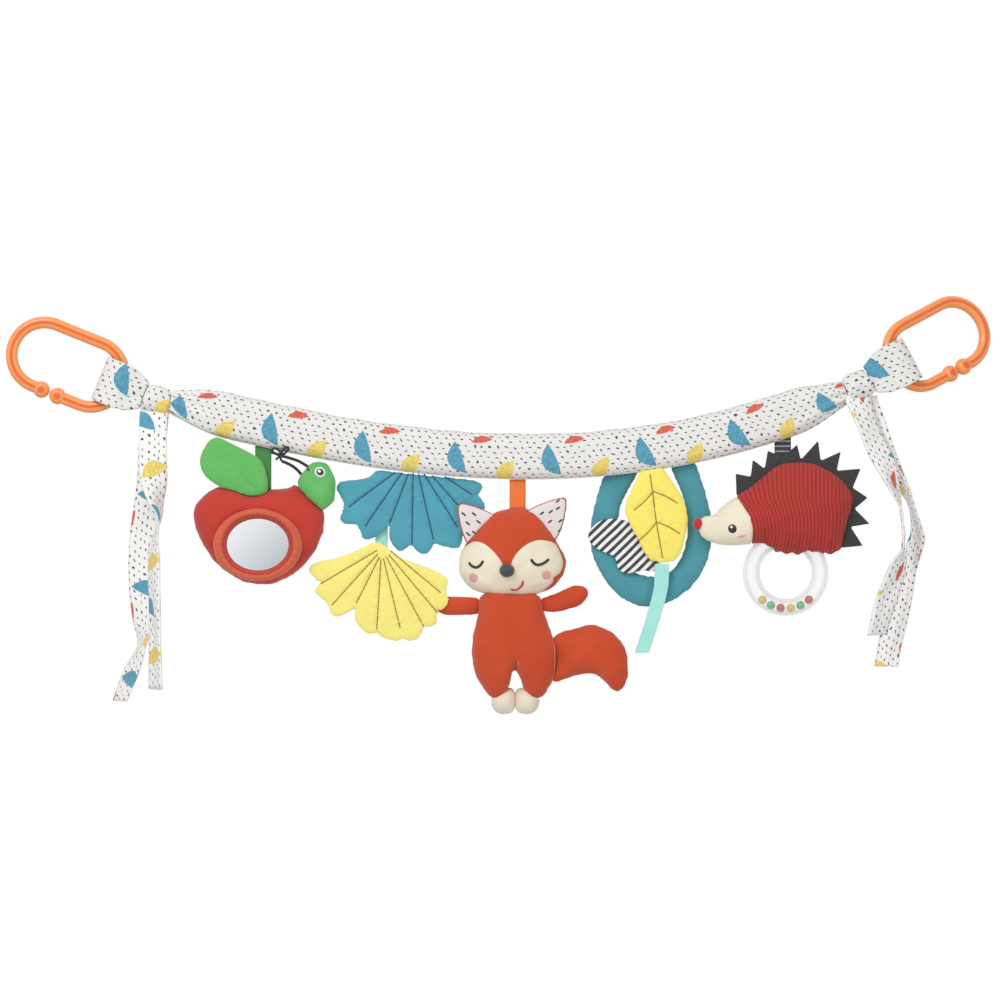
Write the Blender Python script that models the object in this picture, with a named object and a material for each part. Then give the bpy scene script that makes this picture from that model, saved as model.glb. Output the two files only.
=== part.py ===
# Pram chain toy: a padded garland with a snap link at each end and five soft toys.
# X runs along the garland, Z is up and the front of the toy faces -Y. Metres.
# The origin is the centre of the left end loop, where the left link pulls.
import math

import bmesh
import bpy
from mathutils import Matrix, Vector

for old in list(bpy.data.objects):
    bpy.data.objects.remove(old, do_unlink=True)

# Clearances
GAP = 0.0003
SEAM_GAP = 0.0006
OVERRUN = 0.004

# Garland
GARLAND_SPAN = 0.425
GARLAND_SAG = 0.038
GARLAND_RISE = 0.006
GARLAND_SKEW_SHARE = 0.2
GARLAND_HEIGHT = 0.029
GARLAND_DEPTH = 0.016
GARLAND_LIFT = 0.0021
GATHER_LENGTH = 0.036
GATHER_HEIGHT_SHARE = 0.42

# Knots
KNOT_LENGTH = 0.0165
KNOT_HEIGHT = 0.0185
KNOT_DEPTH = 0.018

# End loops
LOOP_REACH = 0.0271
LOOP_WIDTH = 0.029
LOOP_NECK_WIDTH = 0.018
LOOP_NECK_DEPTH = 0.008
LOOP_WALL = 0.0014
LEFT_LOOP_SLOPE = math.radians(22)
RIGHT_LOOP_SLOPE = math.radians(28)

# Links
LINK_LENGTH = 0.0805
LINK_WIDTH = 0.049
LINK_TUBE = 0.0076
LINK_BALL = 0.0106
LINK_SWING = math.radians(30)
RIGHT_LINK_TURN = math.radians(25)
LINK_CLEARANCE = 0.0019
SNAP_SHIFT = 0.004

# Tails
TAIL_WIDTH = 0.0176
TAIL_THICKNESS = 0.0014
TAIL_LEAN = 0.011
LEFT_FRONT_TAIL = 0.172
LEFT_REAR_TAIL = 0.180
RIGHT_FRONT_TAIL = 0.147
RIGHT_REAR_TAIL = 0.1675

# Ribbons and straps
STRAP_THICKNESS = 0.0012
APPLE_STRAP_WIDTH = 0.0105
FOX_STRAP_WIDTH = 0.0105
HEDGEHOG_STRAP_WIDTH = 0.0107
RIBBON_WIDTH = 0.008
RIBBON_THICKNESS = 0.0008

# Places of the toys along the garland, from its left end
APPLE_PLACE_SHARE = 0.137
BLUE_LEAF_PLACE_SHARE = 0.352
FOX_PLACE_SHARE = 0.514
TEAL_RING_PLACE_SHARE = 0.711
HEDGEHOG_PLACE_SHARE = 0.907

# Apple
APPLE_WIDTH = 0.0845
APPLE_HEIGHT = 0.065
APPLE_FRONT = 0.018
APPLE_BACK = 0.021
APPLE_DROP = 0.0218
APPLE_SHIFT = -0.003
BEZEL_WIDTH = 0.056
BEZEL_HEIGHT = 0.046
BEZEL_RIM = 0.0078
BEZEL_RIM_TALL = 0.006
BEZEL_DEPTH = 0.006
BEZEL_SEAT = 0.0095
BEZEL_DROP = 0.0395
MIRROR_THICKNESS = 0.0015
APPLE_LEAF_WIDTH = 0.0425
APPLE_LEAF_HEIGHT = 0.038
APPLE_LEAF_HALF = 0.003
APPLE_LEAF_FORWARD = 0.0075
APPLE_LEAF_SHIFT = 0.003
APPLE_LEAF_RISE = 0.0065
WORM_WIDTH = 0.0242
WORM_HEIGHT = 0.032
WORM_HALF = 0.010
WORM_FORWARD = 0.003
WORM_SHIFT = 0.0338
WORM_DROP = 0.0086
ELASTIC = 0.0019

# Ginkgo leaves
BLUE_LEAF_WIDTH = 0.095
BLUE_LEAF_HEIGHT = 0.056
BLUE_LEAF_HALF = 0.002
BLUE_LEAF_BACK = 0.001
YELLOW_GINKGO_WIDTH = 0.090
YELLOW_GINKGO_HEIGHT = 0.063
YELLOW_GINKGO_HALF = 0.002
YELLOW_GINKGO_FORWARD = 0.0016
YELLOW_GINKGO_SHIFT = -0.0183
YELLOW_GINKGO_DROP = 0.0436
LEAF_RIBBON_SHIFT = -0.017
LEAF_RIBBON_LENGTH = 0.0152
LEAF_RIBBON_TUCK = 0.0044

# Fox
HEAD_WIDTH = 0.068
HEAD_HEIGHT = 0.056
HEAD_HALF = 0.0175
HEAD_DROP = 0.0175
HEAD_SHIFT = -0.0035
NOSE_WIDTH = 0.0102
NOSE_HEIGHT = 0.009
NOSE_DEPTH = 0.0045
NOSE_SHIFT = -0.0032
NOSE_DROP = 0.0394
EAR_LIFT = 0.0022
EAR_WIDTH = 0.028
EAR_HEIGHT = 0.0275
EAR_HALF = 0.002
EAR_FORWARD = 0.0045
EAR_SPREAD = 0.0204
RIGHT_EAR_RISE = 0.0035
BODY_WIDTH = 0.054
BODY_HEIGHT = 0.0655
BODY_SHIFT = -0.002
BODY_HALF = 0.0155
ARM_DEPTH = 0.010
ARM_SEAM_DEPTH = 0.001
ARM_TUCK = 0.0017
LEFT_ARM_PLACE_SHARE = -0.412
RIGHT_ARM_PLACE_SHARE = 0.324
RIGHT_ARM_RISE = 0.0085
ARM_HEIGHT = 0.012
ARM_DROP = 0.006
LEFT_ARM_LENGTH = 0.029
RIGHT_ARM_LENGTH = 0.0305
LEFT_ARM_BACK = 0.0068
FOOT_WIDTH = 0.015
FOOT_HEIGHT = 0.017
FOOT_DEPTH = 0.0165
FOOT_SPREAD = 0.0155
FOOT_SHIFT = 0.0005
TAIL_PLUSH_WIDTH = 0.0475
TAIL_PLUSH_HEIGHT = 0.0415
TAIL_PLUSH_DROP = 0.0177
TAIL_PLUSH_HALF = 0.010

# Teal ring and its leaves
TEAL_WIDTH = 0.0775
TEAL_HEIGHT = 0.0865
TEAL_HALF = 0.0037
TEAL_BACK = 0.0055
YELLOW_LEAF_WIDTH = 0.0403
YELLOW_LEAF_HEIGHT = 0.0573
YELLOW_LEAF_SHIFT = 0.0037
YELLOW_LEAF_HALF = 0.0021
YELLOW_LEAF_FORWARD = 0.0034
STRIPED_WIDTH = 0.0453
STRIPED_HEIGHT = 0.0347
STRIPED_THICKNESS = 0.0014
STRIPED_GAP = 0.0008
STRIPED_SHIFT = -0.0165
STRIPED_DROP = 0.030
MINT_TAIL_WIDTH = 0.0092
MINT_TAIL_LENGTH = 0.056
MINT_TAIL_SHIFT = 0.0071
MINT_TAIL_GAP = 0.0012

# Hedgehog and its rattle ring
HEDGEHOG_WIDTH = 0.0975
HEDGEHOG_HEIGHT = 0.0573
HEDGEHOG_SHIFT = -0.0049
HEDGEHOG_HALF = 0.019
HEDGEHOG_FORWARD = 0.003
HEDGEHOG_DROP = 0.0152
SNOUT_LENGTH = 0.0244
SNOUT_FORWARD = 0.0055
SPINE_THICKNESS = 0.002
SNOUT_WIDTH = 0.0068
SNOUT_HEIGHT = 0.0082
SNOUT_DEPTH = 0.0075
SNOUT_DROP = 0.0382
RATTLE_OUTER = 0.054
RATTLE_TUBE = 0.0106
RATTLE_WALL = 0.0012
RATTLE_DROP = 0.0842
RATTLE_SHIFT = 0.0017
TUNNEL_CLEARANCE = 0.0006
BEAD_DIAMETER = 0.0056
BEAD_COUNT = 6
BEAD_PITCH = math.radians(16.3)

# Mesh counts and shares
BEZEL_SIDES = 28
BLUE_MIDDLE_SHARE = 0.31
HEAD_MIDDLE_SHARE = 0.58
BODY_MIDDLE_SHARE = 0.457
EAR_MIDDLE_SHARE = 0.4
PLUSH_MIDDLE_SHARE = 0.4
PLUSH_TAIL_PLACE_SHARE = 0.46
HEDGEHOG_MIDDLE_SHARE = 0.1
HEDGEHOG_LEVEL_SHARE = 0.57
SNOUT_DEPTH_SHARE = 0.5
OUTLINE_STEPS = 3
SHAPE_STEPS = 2
HALF_SHARE = 0.5
SHARP_ANGLE = math.radians(40)
TUBE_SIDES = 8
GARLAND_SIDES = 12
ARM_SIDES = 10
ELLIPSOID_SIDES = 12
ELLIPSOID_RINGS = 8
RATTLE_STATIONS = 36
RATTLE_ARC_STEPS = 6
TUNNEL_SIDES = 12
GARLAND_STATIONS = 30
KNOT_SIDES = 12
EYE_SIDES = 16
BEND_STEPS = 10
TAIL_STEPS = 2
TAIL_LEAN_START_SHARE = 0.45
GATHER_DEPTH_SHARE = 0.3
LOOP_TURNS = [math.radians(angle) for angle in (85, 65, 45, 22, 0)]
KNOT_SHARES = ((0, 0.84), (0.14, 0.97), (0.5, 1), (0.86, 0.97), (1, 0.84))
PILLOW_RINGS_SHARES = (0.93, 0.76, 0.42)
LEAF_RINGS_SHARES = (0.9, 0.5)

# Tails: share of the length down, share of the width aside, share of a quarter turn
LEFT_FRONT_TAIL_SHARES = ((0, -0.1, 0), (0.1, -0.12, 0.05), (0.2, -0.1, 0.15), (0.31, 0, 0.66), (0.37, 0.13, 0.98),
                          (0.454, -0.05, 1.2), (0.53, -0.07, 1.28), (0.75, -0.03, 1.3), (1, 0, 1.32))
LEFT_REAR_TAIL_SHARES = ((0, -0.1, 0), (0.085, -0.17, -0.1), (0.19, -0.25, -0.15), (0.294, -0.35, -0.15),
                         (0.434, -0.53, -0.1), (0.573, -0.57, -0.1), (0.713, -0.48, -0.35), (0.8, -0.57, -0.75),
                         (0.888, -0.93, -0.62), (1, -1.36, -0.6))
RIGHT_FRONT_TAIL_SHARES = ((0, 0, 0.25), (0.131, 0.4, 0.4), (0.213, 0.71, 0.36), (0.294, 1.03, 0.42),
                           (0.361, 1.21, 0.69), (0.427, 1.41, 0.85), (0.483, 1.52, 0.95), (0.56, 1.58, 0.96),
                           (0.628, 1.57, 0.92), (0.667, 1.49, 0.74), (0.736, 1.31, 0.5), (0.804, 1.1, 0.4),
                           (0.894, 0.87, 0.42), (1, 0.65, 0.45))
RIGHT_REAR_TAIL_SHARES = ((0, 0.24, -0.1), (0.145, 0.78, -0.35), (0.22, 1.1, -0.45), (0.314, 1.6, -0.75),
                          (0.375, 1.92, -0.87), (0.435, 2.07, -0.88), (0.491, 2.17, -0.8), (0.521, 2.15, -0.65),
                          (0.585, 1.94, -0.6), (0.657, 1.71, -0.45), (0.762, 1.53, -0.4), (0.897, 1.24, -0.4),
                          (1, 1.06, -0.42))


# Garland lines that every toy hangs from
def knot_centre_left():
    return LOOP_REACH * math.cos(LEFT_LOOP_SLOPE), -LOOP_REACH * math.sin(LEFT_LOOP_SLOPE)


def slope_at(share):
    across = 2 * share - 1
    bend = GARLAND_SKEW_SHARE * (1 - across * across) - 2 * across * (1 + GARLAND_SKEW_SHARE * across)
    return math.atan((GARLAND_RISE - 2 * GARLAND_SAG * bend) / GARLAND_SPAN)


def garland_start():
    x, z = knot_centre_left()
    reach = KNOT_LENGTH / 2 + GAP
    cosine, sine = math.cos(slope_at(0)), math.sin(slope_at(0))
    return x + reach * cosine - GARLAND_LIFT * sine, z + reach * sine + GARLAND_LIFT * cosine


def garland_x(share):
    return garland_start()[0] + share * GARLAND_SPAN


def garland_z(x):
    share = (x - garland_start()[0]) / GARLAND_SPAN
    across = 2 * share - 1
    drop = GARLAND_SAG * (1 - across * across) * (1 + GARLAND_SKEW_SHARE * across)
    return garland_start()[1] - drop + share * GARLAND_RISE


def garland_slope(x):
    return slope_at((x - garland_start()[0]) / GARLAND_SPAN)


def garland_height(x):
    reach = min(x - garland_start()[0], garland_start()[0] + GARLAND_SPAN - x)
    share = max(0, min(1, reach / GATHER_LENGTH))
    ease = math.sin(share * math.pi / 2)
    return GARLAND_HEIGHT * (GATHER_HEIGHT_SHARE + (1 - GATHER_HEIGHT_SHARE) * ease)


def garland_bottom(x):
    return garland_z(x) - GARLAND_HEIGHT / 2


def hang_point(share):
    x = garland_x(share)
    return x, garland_bottom(x)


def knot_centre_right():
    reach = KNOT_LENGTH / 2 + GAP
    x, z = garland_start()[0] + GARLAND_SPAN, garland_start()[1] + GARLAND_RISE
    return x + reach * math.cos(slope_at(1)), z + reach * math.sin(slope_at(1))


def right_eye():
    x, z = knot_centre_right()
    return x + LOOP_REACH * math.cos(RIGHT_LOOP_SLOPE), z + LOOP_REACH * math.sin(RIGHT_LOOP_SLOPE)


# Outlines
def curve_through(points, closed=True, steps=OUTLINE_STEPS):
    count = len(points)
    spans = count if closed else count - 1
    result = []
    for i in range(spans):
        if closed:
            a, b, c, d = (points[(i + k) % count] for k in (-1, 0, 1, 2))
        else:
            a = points[max(i - 1, 0)]
            b, c = points[i], points[i + 1]
            d = points[min(i + 2, count - 1)]
        for k in range(steps):
            t = k / steps
            result.append(tuple(spline_value(a[j], b[j], c[j], d[j], t) for j in range(len(b))))
    if not closed:
        result.append(tuple(points[-1]))
    return result


def shaped(points):
    return curve_through(points, steps=SHAPE_STEPS)


def spline_value(a, b, c, d, t):
    bend = (2 * a - 5 * b + 4 * c - d) * t * t
    twist = (3 * b - a - 3 * c + d) * t * t * t
    return (2 * b + (c - a) * t + bend + twist) / 2


def placed(shares, width, height, centre_x, top_z):
    return [(centre_x + x * width, top_z + z * height) for x, z in shares]


def wider(outline, amount):
    count = len(outline)
    area = sum(outline[i - 1][0] * outline[i][1] - outline[i][0] * outline[i - 1][1] for i in range(count))
    turn = 1 if area > 0 else -1
    result = []
    for i in range(count):
        before, after = outline[i - 1], outline[(i + 1) % count]
        along = Vector((after[0] - before[0], after[1] - before[1])).normalized()
        result.append((outline[i][0] + turn * along.y * amount, outline[i][1] - turn * along.x * amount))
    return result


# Solids
def material(name, colour, roughness=0.85, metallic=0.0):
    made = bpy.data.materials.new(name)
    made.use_nodes = True
    shader = made.node_tree.nodes["Principled BSDF"]
    shader.inputs["Base Color"].default_value = (*colour, 1)
    shader.inputs["Roughness"].default_value = roughness
    shader.inputs["Metallic"].default_value = metallic
    made.diffuse_color = (*colour, 1)
    return made


def finish_mesh(name, mesh, pivot=(0, 0, 0), smooth=True):
    bmesh.ops.remove_doubles(mesh, verts=mesh.verts, dist=GAP / 100)
    bmesh.ops.recalc_face_normals(mesh, faces=mesh.faces)
    bmesh.ops.translate(mesh, vec=-Vector(pivot), verts=mesh.verts)
    data = bpy.data.meshes.new(name)
    mesh.to_mesh(data)
    mesh.free()
    if smooth:
        data.shade_smooth()
        data.set_sharp_from_angle(angle=SHARP_ANGLE)
    made = bpy.data.objects.new(name, data)
    made.location = pivot
    bpy.context.collection.objects.link(made)
    return made


def loft(name, sections, pivot=(0, 0, 0), ring=False):
    mesh = bmesh.new()
    rows = [[mesh.verts.new(point) for point in section] for section in sections]
    spans = len(rows) if ring else len(rows) - 1
    for i in range(spans):
        near, far = rows[i], rows[(i + 1) % len(rows)]
        for k in range(len(near)):
            after = (k + 1) % len(near)
            mesh.faces.new((near[k], near[after], far[after], far[k]))
    if not ring:
        mesh.faces.new(rows[0])
        mesh.faces.new(rows[-1])
        caps = [face for face in mesh.faces if len(face.verts) > 4]
        mesh.normal_update()
        bmesh.ops.triangulate(mesh, faces=caps)
    return finish_mesh(name, mesh, pivot)


def pillow(name, outline, centre, y, front, back, pivot=(0, 0, 0), rings=PILLOW_RINGS_SHARES):
    mesh = bmesh.new()
    rim = [mesh.verts.new((x, y, z)) for x, z in outline]
    flat = 2 if rings == PILLOW_RINGS_SHARES else 4
    for depth in (-front, back):
        outer = rim
        for share in rings:
            lift = depth * math.sqrt(1 - share ** flat)
            inner = []
            for x, z in outline:
                place = (centre[0] + (x - centre[0]) * share, y + lift, centre[1] + (z - centre[1]) * share)
                inner.append(mesh.verts.new(place))
            for k in range(len(outer)):
                after = (k + 1) % len(outer)
                mesh.faces.new((outer[k], outer[after], inner[after], inner[k]))
            outer = inner
        pole = mesh.verts.new((centre[0], y + depth, centre[1]))
        for k in range(len(outer)):
            mesh.faces.new((outer[k], outer[(k + 1) % len(outer)], pole))
    return finish_mesh(name, mesh, pivot)


def plate(name, outline, near, far, pivot=(0, 0, 0)):
    mesh = bmesh.new()
    front = [mesh.verts.new((x, near, z)) for x, z in outline]
    back = [mesh.verts.new((x, far, z)) for x, z in outline]
    for k in range(len(outline)):
        after = (k + 1) % len(outline)
        mesh.faces.new((front[k], front[after], back[after], back[k]))
    caps = [mesh.faces.new(front), mesh.faces.new(back)]
    mesh.normal_update()
    bmesh.ops.triangulate(mesh, faces=caps)
    return finish_mesh(name, mesh, pivot)


def ellipsoid(name, centre, size, across=ELLIPSOID_SIDES, rings=ELLIPSOID_RINGS, pivot=(0, 0, 0)):
    mesh = bmesh.new()
    bmesh.ops.create_uvsphere(mesh, u_segments=across, v_segments=rings, radius=HALF_SHARE)
    bmesh.ops.scale(mesh, vec=Vector(size), verts=mesh.verts)
    bmesh.ops.translate(mesh, vec=Vector(centre), verts=mesh.verts)
    return finish_mesh(name, mesh, pivot)


def strip_section(x, y, z, width, thickness, twist):
    across = Vector((math.cos(twist), math.sin(twist), 0)) * width / 2
    through = Vector((-math.sin(twist), math.cos(twist), 0)) * thickness / 2
    middle = Vector((x, y, z))
    near, far = middle - through, middle + through
    return [near - across, near + across, far + across, far - across]


def carve(target, cutter, operation="DIFFERENCE"):
    cutter.hide_render = True
    cutter.display_type = "WIRE"
    step = target.modifiers.new(cutter.name, "BOOLEAN")
    step.operation = operation
    step.solver = "EXACT"
    step.object = cutter


def dress(made, finish):
    made.data.materials.append(finish)
    return made


# Garland band, gathered at both ends
def band_section(x, height, depth):
    slope = garland_slope(x)
    rise = height / 2 - min(height, depth) / 2
    round_x, round_z = min(height, depth) / 2, depth / 2
    section = []
    for k in range(GARLAND_SIDES):
        turn = 2 * math.pi * (k + HALF_SHARE) / GARLAND_SIDES
        up = math.sin(turn)
        across = up * round_x + math.copysign(rise, up)
        level = garland_z(x) + across * math.cos(slope)
        section.append(Vector((x - across * math.sin(slope), math.cos(turn) * round_z, level)))
    return section


def band(name, grow=0.0, inset=0.0, stations=None):
    count = stations or GARLAND_STATIONS
    start, end = garland_x(0) + inset, garland_x(1) - inset
    sections = []
    for i in range(count + 1):
        x = start + (end - start) * (1 - math.cos(math.pi * i / count)) / 2
        ease = garland_height(x) / GARLAND_HEIGHT
        depth = GARLAND_DEPTH * (GATHER_DEPTH_SHARE + (1 - GATHER_DEPTH_SHARE) * ease)
        sections.append(band_section(x, garland_height(x) + 2 * grow, depth + 2 * grow))
    return loft(name, sections)


SEAM = band("seam_cutter", grow=SEAM_GAP)


# Knots that gather the band
def knot(name, centre, slope, grow=0.0):
    along = Vector((math.cos(slope), 0, math.sin(slope)))
    upward = Vector((-math.sin(slope), 0, math.cos(slope)))
    middle = Vector((centre[0], 0, centre[1]))
    sections = []
    for share, swell_share in KNOT_SHARES:
        section = []
        for k in range(KNOT_SIDES):
            turn = 2 * math.pi * k / KNOT_SIDES
            out = upward * math.sin(turn) * (KNOT_HEIGHT / 2 + grow)
            out += Vector((0, math.cos(turn) * (KNOT_DEPTH / 2 + grow), 0))
            station = along * (KNOT_LENGTH + 2 * grow) * (share - HALF_SHARE)
            section.append(middle + station + out * swell_share)
        sections.append(section)
    return loft(name, sections)


# End loops folded round the links
def link_bow():
    bend = (LINK_WIDTH - LINK_TUBE) / 2
    return bend - math.sqrt(bend * bend - (LOOP_WIDTH / 2) ** 2)


def eye_half_length():
    bend = (LINK_WIDTH - LINK_TUBE) / 2
    lean = math.asin(LOOP_WIDTH / 2 / bend)
    return link_bow() / 2 + LINK_TUBE / 2 / math.cos(lean) + LINK_CLEARANCE + GAP


def eye_half_depth():
    return LINK_TUBE / 2 + link_bow() / 2 * math.sin(LINK_SWING) + LINK_CLEARANCE + GAP


def end_loop(name, centre, outward, fold):
    """Folded band: outward points from the eye to the link's far end, fold lies along the fold."""
    middle = Vector((centre[0], 0, centre[1]))
    depth = eye_half_depth() + LOOP_WALL
    round_start = eye_half_length() - eye_half_depth()
    neck = -(LOOP_REACH - KNOT_LENGTH / 2 - GAP)
    stations = [(round_start + depth * math.sin(turn), depth * math.cos(turn)) for turn in LOOP_TURNS]
    stations += [(-round_start, depth), (neck / 2, (depth + LOOP_NECK_DEPTH / 2) / 2),
                 (neck, LOOP_NECK_DEPTH / 2)]
    sections = []
    for reach, half in stations:
        narrow = max(0, min(1, (-reach - round_start) / (-neck - round_start)))
        side = (LOOP_WIDTH + (LOOP_NECK_WIDTH - LOOP_WIDTH) * narrow * narrow) / 2
        place = middle + outward * reach
        corners = ((-side, -half), (side, -half), (side, half), (-side, half))
        sections.append([place + fold * a + Vector((0, b, 0)) for a, b in corners])
    made = loft(name, sections)
    eye = []
    for k in range(EYE_SIDES):
        turn = 2 * math.pi * k / EYE_SIDES
        reach = eye_half_depth() * math.cos(turn) + math.copysign(round_start, math.cos(turn))
        eye.append((reach, eye_half_depth() * math.sin(turn)))
    span = LOOP_WIDTH / 2 + OVERRUN
    ring = [middle + outward * a + Vector((0, b, 0)) for a, b in eye]
    ends = [[place + fold * side for place in ring] for side in (-span, span)]
    carve(made, loft(name + "_eye", ends))
    return made


# Links: one moulding, split at a snap of two balls
def link_path():
    straight = (LINK_LENGTH - LINK_WIDTH) / 2
    bend = (LINK_WIDTH - LINK_TUBE) / 2
    ball = LINK_BALL / 2 + GAP / 2
    points = [(SNAP_SHIFT + ball, -bend)]
    for k in range(BEND_STEPS + 1):
        turn = math.pi * (k / BEND_STEPS - HALF_SHARE)
        points.append((straight + bend * math.cos(turn), bend * math.sin(turn)))
    for k in range(BEND_STEPS + 1):
        turn = math.pi * (k / BEND_STEPS + HALF_SHARE)
        points.append((-straight + bend * math.cos(turn), bend * math.sin(turn)))
    points.append((SNAP_SHIFT - ball, -bend))
    return points


def link_centre_reach():
    return LINK_LENGTH / 2 - LINK_TUBE / 2 - link_bow() / 2


def link(name, centre, outward, upward, turn):
    pivot = Vector((centre[0], 0, centre[1]))
    twist = Matrix.Rotation(turn, 3, upward)
    along, through = twist @ outward, twist @ Vector((0, 1, 0))
    path = link_path()
    round_size = LINK_TUBE / 2 / math.cos(math.pi / TUBE_SIDES)
    sections = []
    for i, (a, b) in enumerate(path):
        before, after = path[max(i - 1, 0)], path[min(i + 1, len(path) - 1)]
        heading = Vector((after[0] - before[0], after[1] - before[1])).normalized()
        place = pivot + along * (link_centre_reach() + a) + upward * b
        side = along * heading.y - upward * heading.x
        section = []
        for k in range(TUBE_SIDES):
            angle = 2 * math.pi * (k + HALF_SHARE) / TUBE_SIDES
            section.append(place + (side * math.cos(angle) + through * math.sin(angle)) * round_size)
        sections.append(section)
    made = loft(name, sections, pivot=pivot)
    for end, label in ((path[0], "_near_ball"), (path[-1], "_far_ball")):
        place = pivot + along * (link_centre_reach() + end[0]) + upward * end[1]
        ball = ellipsoid(name + label, place, (LINK_BALL, LINK_BALL, LINK_BALL))
        carve(made, ball, "UNION")
    return made


# Tails: flat strips that turn as they hang
def tail(name, top, length, lean, shares):
    sections = []
    for down, aside, turn in curve_through(shares, closed=False, steps=TAIL_STEPS):
        y = lean * min(1, TAIL_LEAN_START_SHARE + down)
        sections.append(strip_section(top[0] + aside * TAIL_WIDTH, y, top[1] - down * length, TAIL_WIDTH,
                                      TAIL_THICKNESS, turn * math.pi / 2))
    return loft(name, sections, pivot=(top[0], lean * TAIL_LEAN_START_SHARE, top[1]))


# Outlines as shares of each toy's width and height, x from its middle and z from its top
APPLE_SHARES = ((-0.5, -0.34), (-0.45, -0.17), (-0.31, -0.03), (-0.2, -0.02), (-0.1, -0.085),
                (0.02, -0.09),
                (0.12, -0.065), (0.245, -0.045), (0.3, -0.02), (0.485, -0.25), (0.5, -0.39),
                (0.46, -0.6),
                (0.38, -0.757), (0.3, -0.87), (0.17, -0.97), (0.045, -1), (-0.14, -0.92),
                (-0.305, -0.777),
                (-0.425, -0.61))
APPLE_LEAF_SHARES = ((-0.257, 0), (-0.02, -0.12), (0.307, -0.306), (0.426, -0.438), (0.5, -0.686),
                     (0.5, -0.917), (0.322, -1), (0.085, -0.975), (-0.138, -0.868), (-0.36, -0.72),
                     (-0.48, -0.554), (-0.5, -0.34), (-0.405, -0.107))
WORM_SHARES = ((0.11, 0), (0.32, -0.086), (0.474, -0.32), (0.5, -0.54), (0.474, -0.754), (0.318, -0.91),
               (0.135, -1), (-0.15, -0.833), (-0.5, -0.54), (-0.463, -0.3), (-0.315, -0.16), (-0.125, -0.03))
BLUE_LEAF_SHARES = ((-0.18, 0.155), (-0.09, 0.2), (0.11, 0.18), (0.19, 0.13), (0.214, 0.03),
                    (0.3, -0.047),
                    (0.45, -0.087), (0.5, -0.16), (0.47, -0.26), (0.526, -0.373), (0.47, -0.508),
                    (0.464, -0.643), (0.378, -0.733), (0.345, -0.834), (0.306, -0.862), (0.19, -0.822),
                    (0.12, -0.924), (0.07, -0.907), (0.007, -0.845), (-0.036, -0.884), (-0.076, -0.879),
                    (-0.128, -0.738), (-0.13, -0.62), (-0.217, -0.727), (-0.29, -0.755), (-0.332, -0.7),
                    (-0.339, -0.587), (-0.41, -0.587), (-0.464, -0.519), (-0.431, -0.345),
                    (-0.477, -0.204),
                    (-0.46, -0.103), (-0.352, -0.075), (-0.266, -0.04), (-0.207, 0.065))
YELLOW_GINKGO_SHARES = ((-0.06, -0.01), (0.003, 0), (0.094, -0.09), (0.185, -0.17), (0.353, -0.26),
                        (0.465, -0.34), (0.49, -0.4), (0.472, -0.5), (0.507, -0.6), (0.416, -0.72),
                        (0.409, -0.82), (0.31, -0.9), (0.27, -0.985), (0.17, -1), (0.08, -0.99),
                        (-0.01, -0.945), (-0.094, -0.915), (-0.17, -0.795), (-0.178, -0.69),
                        (-0.31, -0.755),
                        (-0.367, -0.68), (-0.38, -0.6), (-0.465, -0.5), (-0.43, -0.41), (-0.5, -0.29),
                        (-0.465, -0.21), (-0.34, -0.17), (-0.19, -0.1))
HEAD_SHARES = ((0.046, 0), (0.222, -0.05), (0.333, -0.19), (0.417, -0.37), (0.5, -0.58), (0.49, -0.726),
               (0.389, -0.894), (0.222, -0.983), (-0.02, -1), (-0.278, -0.966), (-0.426, -0.87),
               (-0.495, -0.715), (-0.48, -0.503), (-0.398, -0.335), (-0.278, -0.156), (-0.139, -0.045))
EAR_SHARES = ((-0.49, -0.01), (-0.3, 0), (0.01, -0.1), (0.3, -0.23), (0.5, -0.45), (-0.08, -1),
              (-0.31, -0.86),
              (-0.455, -0.425))
BODY_SHARES = ((-0.38, 0.07), (-0.05, 0.09), (0.26, 0.07), (0.36, -0.197), (0.476, -0.447),
               (0.5, -0.61),
               (0.453, -0.8125), (0.336, -0.957), (0.219, -0.995), (0.113, -0.89), (0.078, -0.784),
               (0.008, -0.683), (-0.05, -0.726), (-0.074, -0.87), (-0.179, -0.995), (-0.296, -0.966),
               (-0.448, -0.774), (-0.5, -0.553), (-0.483, -0.37), (-0.425, -0.1875))
PLUSH_TAIL_SHARES = ((0.033, -0.174), (0.067, -0.37), (0.067, -0.553), (0.047, -0.735), (0.007, -0.9),
                     (0.227, -0.788), (0.453, -0.742), (0.613, -0.788), (0.733, -0.91), (0.847, -0.992),
                     (0.953, -0.886), (0.993, -0.629), (0.933, -0.326), (0.773, -0.12), (0.52, 0),
                     (0.253, -0.068))
TEAL_SHARES = ((-0.35, 0.03, -0.06, 0.07), (-0.39, -0.03, -0.1, -0.03), (-0.457, -0.23, -0.21, -0.2),
               (-0.49, -0.37, -0.25, -0.335), (-0.494, -0.5, -0.262, -0.487),
               (-0.473, -0.633, -0.23, -0.618),
               (-0.376, -0.8, -0.164, -0.706), (-0.23, -0.94, -0.075, -0.75), (-0.05, -1, 0.006, -0.76),
               (0.112, -0.98, 0.096, -0.75), (0.315, -0.874, 0.185, -0.706),
               (0.446, -0.713, 0.25, -0.618),
               (0.502, -0.538, 0.287, -0.5), (0.51, -0.37, 0.29, -0.355), (0.47, -0.195, 0.26, -0.195),
               (0.42, -0.05, 0.194, -0.05), (0.356, 0.12, 0.112, 0.1))
YELLOW_LEAF_SHARES = ((-0.24, 0.12), (0.08, 0.14), (0.12, 0.02), (0.4, -0.27), (0.495, -0.52),
                      (0.42, -0.82),
                      (0.28, -0.995), (-0.1, -0.985), (-0.29, -0.755), (-0.5, -0.45), (-0.425, -0.25),
                      (-0.275, -0.02))
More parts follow.
